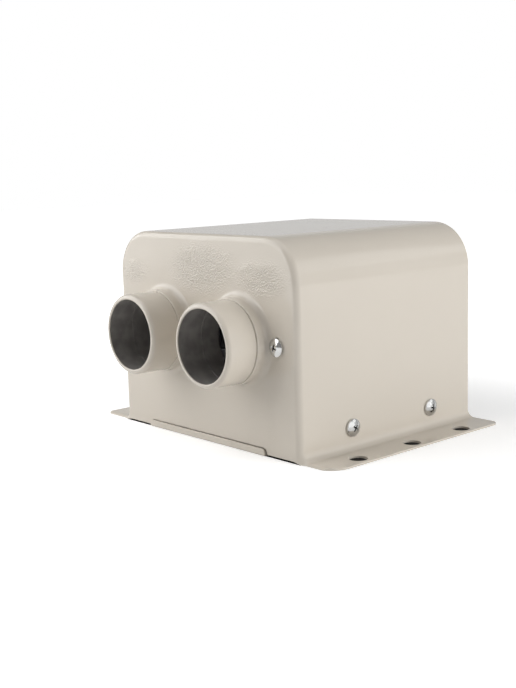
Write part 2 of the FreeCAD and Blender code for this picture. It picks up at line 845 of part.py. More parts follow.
def fan_blade():
    """One twisted blade between the hub and the tip radius."""
    inner = hub_radius - blade_overrun
    outer = blade_tip_radius + blade_overrun
    sections = []
    for share in (0.0, 0.5, 1.0):
        pitch = blade_root_pitch + share * (blade_tip_pitch - blade_root_pitch)
        chord = blade_height * blade_root_chord_share / math.cos(math.radians(pitch))
        sections.append(blade_section(inner + share * (outer - inner), pitch, chord))
    blade = Part.makeLoft(sections, True, False)
    ring = pipe(blade_tip_radius, hub_radius - hub_wall / 2, fan_front, fan_level(fan_depth))
    return blade.common(ring)


def fan_impeller():
    """Hub cup with its boss and the ring of blades."""
    hub = rod(hub_radius, fan_level(hub_rim), fan_level(hub_face))

    def on_face_edge(edge):
        return edge.BoundBox.YMin > fan_level(hub_face) - hub_edge_radius / 10

    hub = rounded_edges(hub, hub_edge_radius, on_face_edge)
    hub = hub.cut(rod(hub_bore, fan_level(hub_rim), fan_level(hub_floor)))
    boss = rod(hub_boss_radius, fan_level(hub_floor - hub_boss_length), fan_level(hub_floor))
    blade = fan_blade()
    blades = [placed(blade, Y_AXIS, number * 360 / blade_count, ORIGIN) for number in range(blade_count)]
    impeller = hub.multiFuse([boss] + blades)
    impeller = impeller.cut(rod(shaft_radius + press_fit, fan_level(0), fan_level(hub_floor)))
    impeller = impeller.removeSplitter()
    impeller.translate(Vec(0, 0, fan_height))
    return impeller


def rotor_yoke():
    """Steel ring inside the hub that carries the magnet."""
    return pipe(hub_bore, magnet_outer, fan_level(hub_rim), fan_level(hub_floor), 0, fan_height)


def rotor_magnet():
    """Ring magnet inside the yoke."""
    return pipe(magnet_outer, magnet_inner, fan_level(hub_rim), fan_level(hub_rim + magnet_length), 0, fan_height)


def rotor_shaft():
    """Steel shaft from the hub boss down past the bearing, with the clip's groove."""
    shaft = rod(shaft_radius, fan_level(shaft_start), fan_level(hub_floor), 0, fan_height)
    groove = pipe(shaft_radius, shaft_radius - groove_depth, fan_level(clip_ring_start),
                  fan_level(clip_ring_start + clip_ring_thickness), 0, fan_height)
    return shaft.cut(groove)


def shaft_clip():
    """Split ring in the shaft's groove that keeps the rotor in its bearing."""
    inner = shaft_radius - groove_depth
    ring = pipe(inner + clip_ring_width, inner, fan_level(clip_ring_start),
                fan_level(clip_ring_start + clip_ring_thickness), 0, fan_height)
    mouth = box(-shaft_radius / 2, shaft_radius / 2, fan_level(0), fan_level(bearing_start),
                fan_height, fan_height + bearing_radius)
    return ring.cut(mouth)


def sleeve_bearing():
    """Sintered sleeve in the bearing tube."""
    return pipe(bearing_radius, shaft_radius + bearing_bore_clearance, fan_level(bearing_start),
                fan_level(bearing_end), 0, fan_height)


def stator_core():
    """Laminated stator: a ring on the bearing tube and four T-shaped poles."""
    start = fan_level(stator_start)
    stop = fan_level(stator_start + stator_length)
    ring_radius = bearing_tube_radius + stator_hub_wall
    core = rod(ring_radius, start, stop)
    shoe = pipe(stator_radius, stator_radius - stator_tip_thickness, start, stop)
    for number in range(stator_pole_count):
        arm = box(ring_radius - stator_tip_thickness, stator_radius - stator_tip_thickness / 2, start, stop,
                  -stator_arm_width / 2, stator_arm_width / 2)
        core = core.fuse(placed(arm, Y_AXIS, number * 360 / stator_pole_count, ORIGIN))
        gap = box(0, stator_radius + stator_tip_thickness, start, stop, -stator_pole_gap / 2, stator_pole_gap / 2)
        shoe = shoe.cut(placed(gap, Y_AXIS, (number + 0.5) * 360 / stator_pole_count, ORIGIN))
    core = core.fuse(shoe)
    core = core.cut(rod(bearing_tube_radius + press_fit, start, stop)).removeSplitter()
    core.translate(Vec(0, 0, fan_height))
    return core


def stator_windings():
    """One coil of wire around each stator arm."""
    inner_x = bearing_tube_radius + stator_hub_wall + layer_fit
    outer_x = stator_radius - stator_tip_thickness - winding_build / 2
    half_arm = stator_arm_width / 2 + layer_fit
    y0 = fan_level(stator_start) - layer_fit
    y1 = fan_level(stator_start + stator_length) + layer_fit
    reach = half_arm + winding_build
    coil = box(inner_x, outer_x, y0 - winding_build, y1 + winding_build, -reach, reach)
    coil = rounded_edges(coil, winding_corner_radius, lambda edge: edge_runs(edge, X_AXIS))
    coil = coil.cut(box(inner_x, outer_x, y0, y1, -half_arm, half_arm))
    coils = []
    for number in range(stator_pole_count):
        coils.append(placed(coil, Y_AXIS, number * 360 / stator_pole_count, Vec(0, 0, fan_height)))
    return Part.makeCompound(coils)


def fan_circuit_board():
    """Ring-shaped board with the fan's electronics, on the motor base."""
    start = fan_level(motor_base_thickness)
    return pipe(magnet_inner, bearing_tube_radius + screw_fit, start, start + board_thickness, 0, fan_height)


def wire_corners(radius, y):
    """Corners of the wire's section, at a distance from the Y axis."""
    turn = 360 / guard_wire_sides
    return [polar(radius, y, guard_wire_radius, (side + 0.5) * turn) for side in range(guard_wire_sides)]


def wire_ring(radius, y):
    """Ring of wire about the Y axis."""
    corners = wire_corners(radius, y)
    return Part.Face(Part.makePolygon(corners + corners[:1])).revolve(ORIGIN, Y_AXIS, 360)


def wire_bar(x0, x1, y):
    """Straight wire along X."""
    corners = [Vec(x0, corner.y, corner.x) for corner in wire_corners(0, y)]
    return Part.Face(Part.makePolygon(corners + corners[:1])).extrude(Vec(x1 - x0, 0, 0))


def fan_guard():
    """Welded wire guard: rings on four spokes that end in screw eyes."""
    spoke_y = wall_back + guard_wire_radius
    ring_y = spoke_y + 2 * guard_wire_radius - guard_weld
    outer_ring = fan_duct_radius - fan_opening_margin
    step = (outer_ring - guard_inner_ring) / (guard_ring_count - 1)
    corner = fan_hole_pitch / math.sqrt(2)
    eye = placed(wire_ring(guard_eye_radius, spoke_y), Y_AXIS, 0, Vec(corner, 0, 0))
    half_wire = guard_wire_radius / 2
    arm = wire_bar(guard_inner_ring - guard_wire_radius, corner - guard_eye_radius + half_wire, spoke_y).fuse(eye)
    wires = []
    for number in range(guard_spoke_count):
        wires.append(placed(arm, Y_AXIS, (number + 0.5) * 360 / guard_spoke_count, ORIGIN))
    for number in range(guard_ring_count):
        wires.append(wire_ring(guard_inner_ring + number * step, ring_y))
    guard = wires[0].multiFuse(wires[1:])
    guard.translate(Vec(0, 0, fan_height))
    return guard


def fan_screws():
    """Four screws through the guard's eyes and the rear wall into the fan frame."""
    seat = wall_back + 2 * guard_wire_radius
    length = seat - wall_front + fan_screw_grip
    screw = pan_screw(fan_screw_radius, length, screw_head_radius, screw_head_height)
    return Part.makeCompound([placed(screw, Z_AXIS, 180, Vec(x, seat, z)) for x, z in fan_hole_places()])


def cable_grommet():
    """Rubber ring snapped into the rear wall."""
    neck = grommet_hole_radius - grommet_fit
    lean = grommet_rim_thickness / 2
    front = wall_front - grommet_rim_thickness
    back = wall_back + grommet_rim_thickness
    face = outline_face(Vec(grommet_bore_radius, front, 0), [
        [Vec(grommet_rim_radius - lean, front, 0)],
        [Vec(grommet_rim_radius, front + lean, 0)],
        [Vec(grommet_rim_radius, wall_front, 0)],
        [Vec(neck, wall_front, 0)],
        [Vec(neck, wall_back, 0)],
        [Vec(grommet_rim_radius, wall_back, 0)],
        [Vec(grommet_rim_radius, back - lean, 0)],
        [Vec(grommet_rim_radius - lean, back, 0)],
        [Vec(grommet_bore_radius, back, 0)],
        [Vec(grommet_bore_radius, front, 0)],
    ])
    return turned(face, grommet_offset_x, grommet_height)


def all_nodes():
    """Every piece by its node name."""
    nodes = {
        "cover_shell": cover_shell(),
        "base_chassis": base_chassis(),
        "outlet_plate": outlet_plate(),
        "side_screws": side_screws(),
        "front_screws": front_screws(),
        "core_screws": core_screws(),
        "core_rail_upper": core_rail(core_top - rail_thickness),
        "core_rail_lower": core_rail(core_bottom),
        "thermal_cutout": thermal_cutout(),
        "cutout_clip": cutout_clip(),
        "clip_screws": clip_screws(),
        "fan_frame": fan_frame(),
        "fan_impeller": fan_impeller(),
        "rotor_yoke": rotor_yoke(),
        "rotor_magnet": rotor_magnet(),
        "rotor_shaft": rotor_shaft(),
        "shaft_clip": shaft_clip(),
        "sleeve_bearing": sleeve_bearing(),
        "stator_core": stator_core(),
        "stator_windings": stator_windings(),
        "fan_circuit_board": fan_circuit_board(),
        "fan_guard": fan_guard(),
        "fan_screws": fan_screws(),
        "cable_grommet": cable_grommet(),
    }
    for name, side in SIDES.items():
        nodes[f"outlet_tube_{name}"] = outlet_tube(side * outlet_x)
        nodes[f"core_bracket_{name}"] = core_bracket(side)
        nodes[f"core_end_cap_{name}"] = core_end_cap(side)
    for index in range(tube_count):
        nodes[f"heater_tube_{index + 1}"] = heater_tube(index)
        nodes[f"insulating_film_{index + 1}"] = insulating_film(index)
        nodes[f"ptc_stones_{index + 1}"] = ptc_stones(index)
        nodes[f"electrode_lower_{index + 1}"] = electrode(index, False)
        nodes[f"electrode_upper_{index + 1}"] = electrode(index, True)
    for index in range(tube_count + 1):
        nodes[f"fin_pack_{index + 1}"] = fin_pack(index)
    return nodes


os.makedirs("parts", exist_ok=True)
for node_name, node_shape in all_nodes().items():
    node_shape.exportStep(f"parts/{node_name}.step")
    print(node_name, "solids", len(node_shape.Solids), "valid", node_shape.isValid(),
          "volume", round(node_shape.Volume, 1))
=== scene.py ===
# %% [markdown]
# This lesson dresses a small car heater. Its CAD model comes packed as a fixed frame, with every
# piece in its true place and size. The frame is loaded first. Nothing that is added later may
# stand outside it.

# %% Load the imported frame
import json
import math

import bmesh
import bpy
from mathutils import Matrix, Vector


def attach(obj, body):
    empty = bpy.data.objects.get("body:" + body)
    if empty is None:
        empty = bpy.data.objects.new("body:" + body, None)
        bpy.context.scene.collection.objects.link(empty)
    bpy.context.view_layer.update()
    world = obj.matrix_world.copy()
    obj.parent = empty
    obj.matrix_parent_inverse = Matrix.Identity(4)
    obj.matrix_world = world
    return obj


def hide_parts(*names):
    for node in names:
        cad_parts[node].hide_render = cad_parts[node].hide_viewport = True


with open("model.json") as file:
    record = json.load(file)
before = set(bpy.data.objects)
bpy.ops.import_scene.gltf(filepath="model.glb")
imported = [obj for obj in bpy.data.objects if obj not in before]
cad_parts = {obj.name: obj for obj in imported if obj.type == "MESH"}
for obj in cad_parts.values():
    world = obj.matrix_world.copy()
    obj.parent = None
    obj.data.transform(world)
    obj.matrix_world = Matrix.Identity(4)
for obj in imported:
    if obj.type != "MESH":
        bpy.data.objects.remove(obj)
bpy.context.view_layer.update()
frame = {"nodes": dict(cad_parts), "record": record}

MM = 0.001

# %% [markdown]
# The camera stands where the photographer stood: to the right of the outlets and a little above
# the casing. Its turn, height and lens were found by matching the straight edges of the casing.
# Two turns give the camera's own axes, and a slight roll is added at the end.

# %% Stand the camera
AZIMUTH = math.radians(48.595)
ELEVATION = math.radians(9.442)
ROLL = math.radians(-1.694)
LENS = 55.695
SENSOR_WIDTH = 36
camera_place = Vector((387.777, -365.518, 127.819)) * MM

back = Vector((math.sin(AZIMUTH) * math.cos(ELEVATION), -math.cos(AZIMUTH) * math.cos(ELEVATION),
               math.sin(ELEVATION)))
right = Vector((math.cos(AZIMUTH), math.sin(AZIMUTH), 0))
camera_turn = Matrix((right, back.cross(right), back)).transposed() @ Matrix.Rotation(ROLL, 3, "Z")
camera_data = bpy.data.cameras.new("camera")
camera_data.lens = LENS
camera_data.sensor_width = SENSOR_WIDTH
camera = bpy.data.objects.new("camera", camera_data)
camera.matrix_world = Matrix.Translation(camera_place) @ camera_turn.to_4x4()
bpy.context.scene.collection.objects.link(camera)
bpy.context.scene.camera = camera
print("camera", [round(value, 3) for value in camera_place])

# %% [markdown]
# Modelling by hand means: select something, then use a tool on it. These helpers do the selecting.
# A script can't click, so faces and edges are found by where they are. Each helper leaves
# everything else unselected, because an operator works on all that is selected.

# %% Helpers for selecting
SAME = 0.02
HAIR = 0.1


def only(piece):
    """Select one piece and nothing else."""
    bpy.ops.object.select_all(action="DESELECT")
    piece.select_set(True)
    bpy.context.view_layer.objects.active = piece


def middle(part):
    """Middle of a corner, an edge or a face, in millimetres."""
    if isinstance(part, bmesh.types.BMVert):
        return part.co / MM
    return sum((vert.co for vert in part.verts), Vector()) / len(part.verts) / MM


def pick(kind, test):
    """In edit mode, select the corners, edges or faces that pass the test."""
    bpy.ops.mesh.select_mode(type=kind)
    bpy.ops.mesh.select_all(action="DESELECT")
    data = bpy.context.edit_object.data
    mesh = bmesh.from_edit_mesh(data)
    parts = {"VERT": mesh.verts, "EDGE": mesh.edges, "FACE": mesh.faces}[kind]
    for part in [part for part in parts if test(part)]:
        part.select_set(True)
    bmesh.update_edit_mesh(data)


def near(value, target, room=SAME):
    """True when two lengths in millimetres are the same."""
    return abs(value - target) < room


def level(part, axis, target):
    """True when all corners of a part lie on one plane, such as z = 1."""
    return all(near(vert.co[axis] / MM, target) for vert in part.verts)


def push(x=0.0, y=0.0, z=0.0):
    """Arguments that move what an extrude has made, in millimetres."""
    return {"value": Vector((x, y, z)) * MM}


# %% [markdown]
# Many pieces here start as a drawn line. With no pen to draw with, one corner is made by merging a
# plane to a point, and extruding it again and again draws the line. Arcs are drawn as short
# straight steps, close enough to look round.

# %% Helpers for drawing and shaping
X, Y, Z = 0, 1, 2
WELD = 0.001


def arc(centre_a, centre_b, radius, start, stop, steps=8):
    """Points of an arc in a plane, angles in degrees."""
    turns = [math.radians(start + (stop - start) * step / steps) for step in range(steps + 1)]
    return [(centre_a + radius * math.cos(turn), centre_b + radius * math.sin(turn)) for turn in turns]


def draw_line(name, points):
    """Open line through points in millimetres, left in edit mode with everything selected."""
    bpy.ops.object.select_all(action="DESELECT")
    bpy.ops.mesh.primitive_plane_add(size=MM, location=(0, 0, 0))
    piece = bpy.context.object
    piece.name = name
    bpy.ops.object.mode_set(mode="EDIT")
    bpy.ops.mesh.select_mode(type="VERT")
    bpy.ops.mesh.select_all(action="SELECT")
    bpy.ops.mesh.merge(type="CENTER")
    bpy.ops.transform.translate(value=Vector(points[0]) * MM)
    for start, stop in zip(points, points[1:]):
        step = Vector(stop) - Vector(start)
        bpy.ops.mesh.extrude_region_move(TRANSFORM_OT_translate=push(*step))
    bpy.ops.mesh.select_all(action="SELECT")
    return piece


def add_block(name, low, high):
    """Block between two corners given in millimetres, opened in edit mode."""
    low = Vector(low) * MM
    high = Vector(high) * MM
    bpy.ops.object.select_all(action="DESELECT")
    bpy.ops.mesh.primitive_cube_add(size=1, location=(low + high) / 2, scale=high - low)
    bpy.ops.object.transform_apply(location=True, rotation=True, scale=True)
    piece = bpy.context.object
    piece.name = name
    bpy.ops.object.mode_set(mode="EDIT")
    return piece


def close_edit():
    """Merge doubles, turn the faces outwards and leave edit mode."""
    bpy.ops.mesh.select_all(action="SELECT")
    bpy.ops.mesh.remove_doubles(threshold=WELD * MM)
    bpy.ops.mesh.normals_make_consistent(inside=False)
    bpy.ops.object.mode_set(mode="OBJECT")


def apply_modifier(piece, kind, **settings):
    """Add a modifier to a piece in object mode, set it and apply it."""
    only(piece)
    modifier = piece.modifiers.new(kind.lower(), kind)
    for name, value in settings.items():
        setattr(modifier, name, value)
    bpy.ops.object.modifier_apply(modifier=modifier.name)


def combine(piece, other, operation):
    """Cut one solid from another, weld it on or keep what both share, and remove the other."""
    apply_modifier(piece, "BOOLEAN", object=other, operation=operation, solver="EXACT")
    bpy.data.objects.remove(other)


def break_edges(piece, width, angle):
    """Bevel every edge that is sharper than an angle in degrees."""
    apply_modifier(piece, "BEVEL", width=width * MM, segments=2, limit_method="ANGLE",
                   angle_limit=math.radians(angle), use_clamp_overlap=True)


print("helpers ready")

# %% [markdown]
# The cover is one drawn steel sheet: a front, a rounded top, two sides and a flange along each
# side. Seen from the front its outline is a hat, so the outline is drawn once, filled and pulled
# to the back. One bevel along the front edge makes the bend, which also runs round the feet of
# the sides and along the flanges. The front itself stays open until the collars are in.

# %% Cover sheet
HALF_WIDTH = 65.0
HEIGHT = 98.2
FRONT = -58.5
REAR = 58.5
SHEET = 1.0
TOP_CORNER = 21.0
FRONT_BEND = 3.0
FLANGE_X = 84.0
FLANGE_BEND = 4.0
RIM_LEFT = 0.6
SPARE = 2.0
DEEP = SHEET - 2 * FRONT_BEND

right_half = (
    [(FLANGE_X + SPARE, DEEP), (FLANGE_X + SPARE, SHEET)]
    + arc(HALF_WIDTH + FLANGE_BEND, SHEET + FLANGE_BEND, FLANGE_BEND, 270, 180)
    + arc(HALF_WIDTH - TOP_CORNER, HEIGHT - TOP_CORNER, TOP_CORNER, 0, 90, steps=24))
hat = right_half + [(-x, z) for x, z in reversed(right_half)]
cover = draw_line("cover", [(x, FRONT, z) for x, z in hat])
bpy.ops.mesh.edge_face_add()
bpy.ops.mesh.extrude_region_move(TRANSFORM_OT_translate=push(y=REAR + SPARE - FRONT))
pick("EDGE", lambda edge: level(edge, Y, FRONT)
     and all(vert.co.z / MM > SHEET - HAIR for vert in edge.verts))
bpy.ops.mesh.bevel(offset=FRONT_BEND * MM, segments=8, affect="EDGES", clamp_overlap=False)
pick("FACE", lambda face: level(face, Y, FRONT))
bpy.ops.mesh.inset(thickness=RIM_LEFT * MM)
bpy.ops.mesh.delete(type="ONLY_FACE")
close_edit()
print("cover outline:", len(cover.data.polygons), "faces")

# %% [markdown]
# Round pieces are turned, as on a lathe: half a section is drawn as a line and spun round an axis.

# %% Helpers for turned pieces
ROUND_STEPS = 96


def turn_piece(name, section, x=0.0, z=0.0, steps=ROUND_STEPS):
    """Piece turned about an axis along Y through (x, z), from points (distance from the axis, y)."""
    piece = draw_line(name, [(x + r, y, z) for r, y in section])
    bpy.ops.mesh.spin(steps=steps, angle=2 * math.pi, center=Vector((x, 0, z)) * MM, axis=(0, 1, 0))
    close_edit()
    return piece


def rod(name, radius, low, high, vertices=48):
    """Cylinder from one point to another, in millimetres."""
    low = Vector(low)
    high = Vector(high)
    along = high - low
    bpy.ops.object.select_all(action="DESELECT")
    bpy.ops.mesh.primitive_cylinder_add(vertices=vertices, radius=radius * MM, depth=along.length * MM,
                                        location=(low + high) / 2 * MM,
                                        rotation=along.to_track_quat("Z", "Y").to_euler())
    bpy.ops.object.transform_apply(location=True, rotation=True, scale=True)
    bpy.context.object.name = name
    return bpy.context.object


def join(piece, others):
    """Make several pieces one."""
    only(piece)
    for other in others:
        other.select_set(True)
    bpy.ops.object.join()


print("turning helpers ready")

# %% [markdown]
# Each outlet has a collar drawn out of the front face: the sheet turns forward in a bend and ends
# in a short ring. The collars are turned, the flat front is filled in round them, and the back,
# the bottom and the ends go. Only then does Solidify give the whole sheet its thickness.

# %% Collars and thickness
OUTLET_X = 27.2
OUTLET_Z = 51.0
COLLAR_HOLE = 23.8
COLLAR_OUT = 19.8
COLLAR_FOOT = 22.8
COLLAR_TIP = -65.1
COLLAR_BEND = COLLAR_FOOT - COLLAR_OUT
COLLAR_EDGE = 0.4


def from_axis(part):
    """Distance of a part's middle from the axis of the nearer outlet."""
    return math.hypot(abs(middle(part).x) - OUTLET_X, middle(part).z - OUTLET_Z)


collar_section = (
    [(COLLAR_HOLE, FRONT)]
    + arc(COLLAR_FOOT, FRONT - COLLAR_BEND, COLLAR_BEND, 90, 180)
    + [(COLLAR_OUT, COLLAR_TIP)])
join(cover, [turn_piece("collar", collar_section, x, OUTLET_Z) for x in (-OUTLET_X, OUTLET_X)])
only(cover)
bpy.ops.object.mode_set(mode="EDIT")
pick("EDGE", lambda edge: edge.is_boundary and level(edge, Y, FRONT))
bpy.ops.mesh.fill(use_beauty=True)
close_edit()
bpy.ops.object.mode_set(mode="EDIT")
pick("FACE", lambda face: level(face, Y, REAR + SPARE) or level(face, Z, DEEP)
     or near(abs(middle(face).x), FLANGE_X + SPARE))
bpy.ops.mesh.delete(type="FACE")
bpy.ops.object.mode_set(mode="OBJECT")
apply_modifier(cover, "SOLIDIFY", thickness=SHEET * MM, offset=-1, use_quality_normals=True)
bpy.ops.object.mode_set(mode="EDIT")
pick("EDGE", lambda edge: level(edge, Y, COLLAR_TIP)
     and all(near(from_axis(vert), COLLAR_OUT, HAIR) for vert in edge.verts))
bpy.ops.mesh.bevel(offset=COLLAR_EDGE * MM, segments=4, affect="EDGES")
close_edit()
print("cover with collars:", len(cover.data.polygons), "faces")

# %% [markdown]
# The sheet was made too large all round, because a drawn sheet is trimmed afterwards. The trimming
# tool is a prism with the outline of the flanges, whose front right corner is rounder than the
# others. What hangs below the flanges goes too, and a gap is cut under the front face, which runs
# out towards both sides. In the middle, where a tongue of the chassis passes and turns up into a
# lip, a notch follows the lip's outline at a small distance, so that a dark line shows round it.

# %% Trim the cover
FLANGE_CORNER = 4.0
TRIMMED_CORNER = 11.0
GAP_HEIGHT = 0.8
GAP_STRAIGHT = 61.0
GAP_END = 70.0
NOTCH_X = 43.25
NOTCH_TOP = 3.62
NOTCH_CORNER = 2.2
SKIM = 0.02
TALL = 50
UNDER = 10
OVER = 5
COLLAR_ROOM_Z = 10
WASTE_REACH = 100
WASTE_DEPTH = 20


def upright(edge):
    """True for a tall edge of the trimming tool."""
    return abs(edge.verts[0].co.z - edge.verts[1].co.z) > TALL * MM


def front_right(edge):
    """True for an edge in the quarter of the front right corner."""
    return middle(edge).x > 0 > middle(edge).y


trimmer = add_block("trimmer", (-FLANGE_X, FRONT - SKIM, -UNDER), (FLANGE_X, REAR, HEIGHT + OVER))
pick("EDGE", lambda edge: upright(edge) and front_right(edge))
bpy.ops.mesh.bevel(offset=TRIMMED_CORNER * MM, segments=16, affect="EDGES")
pick("EDGE", lambda edge: upright(edge) and not front_right(edge))
bpy.ops.mesh.bevel(offset=FLANGE_CORNER * MM, segments=10, affect="EDGES")
close_edit()
room = add_block("room_for_collars", (-GAP_STRAIGHT, COLLAR_TIP - SPARE, COLLAR_ROOM_Z),
                 (GAP_STRAIGHT, 0, HEIGHT + OVER))
bpy.ops.object.mode_set(mode="OBJECT")
combine(trimmer, room, "UNION")
combine(cover, trimmer, "INTERSECT")
waste = add_block("waste", (-WASTE_REACH, -WASTE_REACH, -WASTE_DEPTH), (WASTE_REACH, WASTE_REACH, SKIM))
bpy.ops.object.mode_set(mode="OBJECT")
combine(cover, waste, "DIFFERENCE")
cut_front = FRONT - SHEET
cut_back = FRONT + 1.5 * SHEET
gap = add_block("gap", (-GAP_END, cut_front, -SHEET), (GAP_END, cut_back, GAP_HEIGHT))
for side in (-1, 1):
    pick("VERT", lambda vert: near(middle(vert).z, GAP_HEIGHT) and middle(vert).x * side > 0)
    bpy.ops.transform.translate(value=Vector((side * (GAP_STRAIGHT - GAP_END), 0, 0)) * MM)
bpy.ops.object.mode_set(mode="OBJECT")
combine(cover, gap, "DIFFERENCE")
notch = add_block("notch", (-NOTCH_X, cut_front, -SHEET), (NOTCH_X, cut_back, NOTCH_TOP))
pick("EDGE", lambda edge: level(edge, Z, NOTCH_TOP) and near(abs(middle(edge).x), NOTCH_X))
bpy.ops.mesh.bevel(offset=NOTCH_CORNER * MM, segments=8, affect="EDGES")
bpy.ops.object.mode_set(mode="OBJECT")
combine(cover, notch, "DIFFERENCE")
print("trimmed cover:", len(cover.data.polygons), "faces")

# %% [markdown]
# The holes come last: six for mounting, two in each side for screws, and a short slot beside each
# collar, where a shallow flat is pressed into the collar's foot for the screw head. Cutting with
# plain rods is enough. One bevel then breaks every sharp edge of the sheet.

# %% Holes in the cover
MOUNT_X = 78.0
MOUNT_PITCH = 36.0
MOUNT_HOLE = 4.25
SCREW_HOLE = 2.25
SIDE_SCREW_Z = 10.8
SIDE_SCREW_SHIFT = 1.5
SIDE_SCREW_HALF = 27.2
SIDE_SCREW_YS = (SIDE_SCREW_SHIFT - SIDE_SCREW_HALF, SIDE_SCREW_SHIFT + SIDE_SCREW_HALF)
FRONT_SCREW_X = 52.0
FRONT_SCREW_Z = 50.3
SLOT_TRAVEL = 2.1
SEAT = 4.25
HEAD_ROOM = 5
MIDDLE_ROOM = 0.01
EDGE_BREAK = 0.18
BREAK_ANGLE = 40

for x in (-MOUNT_X, MOUNT_X):
    for y in (-MOUNT_PITCH, 0, MOUNT_PITCH):
        combine(cover, rod("mount_hole", MOUNT_HOLE, (x, y, -SHEET), (x, y, 2 * SHEET)), "DIFFERENCE")
for y in SIDE_SCREW_YS:
    hole = rod("screw_hole", SCREW_HOLE, (-MOUNT_X, y, SIDE_SCREW_Z), (MOUNT_X, y, SIDE_SCREW_Z))
    combine(cover, hole, "DIFFERENCE")
for x in (-FRONT_SCREW_X, FRONT_SCREW_X):
    before = (x, FRONT - HEAD_ROOM, FRONT_SCREW_Z)
    combine(cover, rod("seat", SEAT, before, (x, FRONT - SKIM, FRONT_SCREW_Z)), "DIFFERENCE")
    slot = rod("slot", SCREW_HOLE, before, (x, FRONT + 2 * SHEET, FRONT_SCREW_Z))
    bpy.ops.object.mode_set(mode="EDIT")
    pick("VERT", lambda vert: middle(vert).z > FRONT_SCREW_Z + MIDDLE_ROOM)
    bpy.ops.transform.translate(value=Vector((0, 0, SLOT_TRAVEL)) * MM)
    bpy.ops.object.mode_set(mode="OBJECT")
    combine(cover, slot, "DIFFERENCE")
break_edges(cover, EDGE_BREAK, BREAK_ANGLE)
print("cover with holes:", len(cover.data.polygons), "faces")

# %% [markdown]
# The outlet tubes are turned too. Each has a rim rolled inwards in front, a shoulder that stops
# at the collar with a hairline gap, and a thinner neck that is flared behind the inner plate.

# %% Outlet tubes
TUBE_OUT = 19.2
TUBE_WALL = 0.9
NECK_OUT = 18.7
RIM_Y = -80.9
RIM_ROLL = 2.0
SHOULDER_Y = -65.25
PLATE_BACK = -56.5
FLARE = 20.8
SHOULDER_ROUND = 0.2

rim_r = TUBE_OUT - RIM_ROLL
rim_start = RIM_Y + RIM_ROLL
neck_in = NECK_OUT - TUBE_WALL
tube_in = TUBE_OUT - TUBE_WALL
step_y = SHOULDER_Y - TUBE_WALL
tube_section = (
    arc(rim_r, rim_start, RIM_ROLL, -90, 0, steps=10)
    + arc(TUBE_OUT - SHOULDER_ROUND, SHOULDER_Y - SHOULDER_ROUND, SHOULDER_ROUND, 0, 90, steps=3)
    + [(NECK_OUT, SHOULDER_Y), (NECK_OUT, PLATE_BACK)]
    + [(FLARE, PLATE_BACK), (FLARE, PLATE_BACK + TUBE_WALL)]
    + arc(NECK_OUT, PLATE_BACK, TUBE_WALL, 90, 180, steps=6)
    + [(neck_in, step_y), (tube_in, step_y)]
    + arc(rim_r, rim_start, RIM_ROLL - TUBE_WALL, 0, -90, steps=6)
    + arc(rim_r, RIM_Y + TUBE_WALL / 2, TUBE_WALL / 2, 90, 270, steps=6))
tubes = {side: turn_piece(f"outlet_{side}", tube_section, x, OUTLET_Z)
         for side, x in (("left", -OUTLET_X), ("right", OUTLET_X))}
print("outlet tube:", len(tubes["left"].data.polygons), "faces")

# %% [markdown]
# The casing screws have domed pan heads with a cross recess. One screw is turned, and the recess
# is cut by two crossed blades that narrow downwards. A fine bevel takes the edge off head and recess.

# %% One pan-head screw
HEAD = 4.1
HEAD_HEIGHT = 2.4
HEAD_RIM = 1.08
SHANK = 2.0
SHANK_END = 9.0
RECESS_REACH = 2.35
RECESS_WIDTH = 0.95
RECESS_DEPTH = 1.5
RECESS_TAPER = 0.45
RECESS_FLAT = 1.3
HEAD_CHAMFER = 0.25
POINT_LENGTH = 0.8
POINT_CUT = 0.6
BLADE_SPARE = 1
SCREW_STEPS = 48
SCREW_BREAK = 0.07
SCREW_ANGLE = 35
DOME = (HEAD ** 2 + (HEAD_HEIGHT - HEAD_RIM) ** 2) / (2 * (HEAD_HEIGHT - HEAD_RIM))

dome_edge = math.degrees(math.asin(HEAD / DOME))
head_section = (
    arc(0, DOME - HEAD_HEIGHT, DOME, -90, -90 + dome_edge, steps=10)
    + [(HEAD, -HEAD_CHAMFER), (HEAD - HEAD_CHAMFER, 0), (SHANK, 0)]
    + [(SHANK, SHANK_END - POINT_LENGTH), (SHANK - POINT_CUT, SHANK_END), (0, SHANK_END)])
screw = turn_piece("screw", head_section, steps=SCREW_STEPS)
for turn in (0, 90):
    blade = add_block("blade", (-RECESS_REACH, -HEAD_HEIGHT - BLADE_SPARE, -RECESS_WIDTH / 2),
                      (RECESS_REACH, RECESS_DEPTH - HEAD_HEIGHT, RECESS_WIDTH / 2))
    pick("FACE", lambda face: level(face, Y, RECESS_DEPTH - HEAD_HEIGHT))
    bpy.ops.transform.resize(value=(RECESS_TAPER, 1, RECESS_TAPER * RECESS_FLAT))
    bpy.ops.mesh.select_all(action="SELECT")
    bpy.ops.transform.rotate(value=math.radians(turn), orient_axis="Y", center_override=(0, 0, 0))
    bpy.ops.object.mode_set(mode="OBJECT")
    combine(screw, blade, "DIFFERENCE")
break_edges(screw, SCREW_BREAK, SCREW_ANGLE)
print("screw:", len(screw.data.polygons), "faces")

# %% [markdown]
# Ten screws of this kind are in sight: four in the sides, two in the front and four round the fan.
# Each is a copy of the first. It is pointed the way it is driven in, moved to its seat and turned
# a little differently, as screws end up when they are tightened.

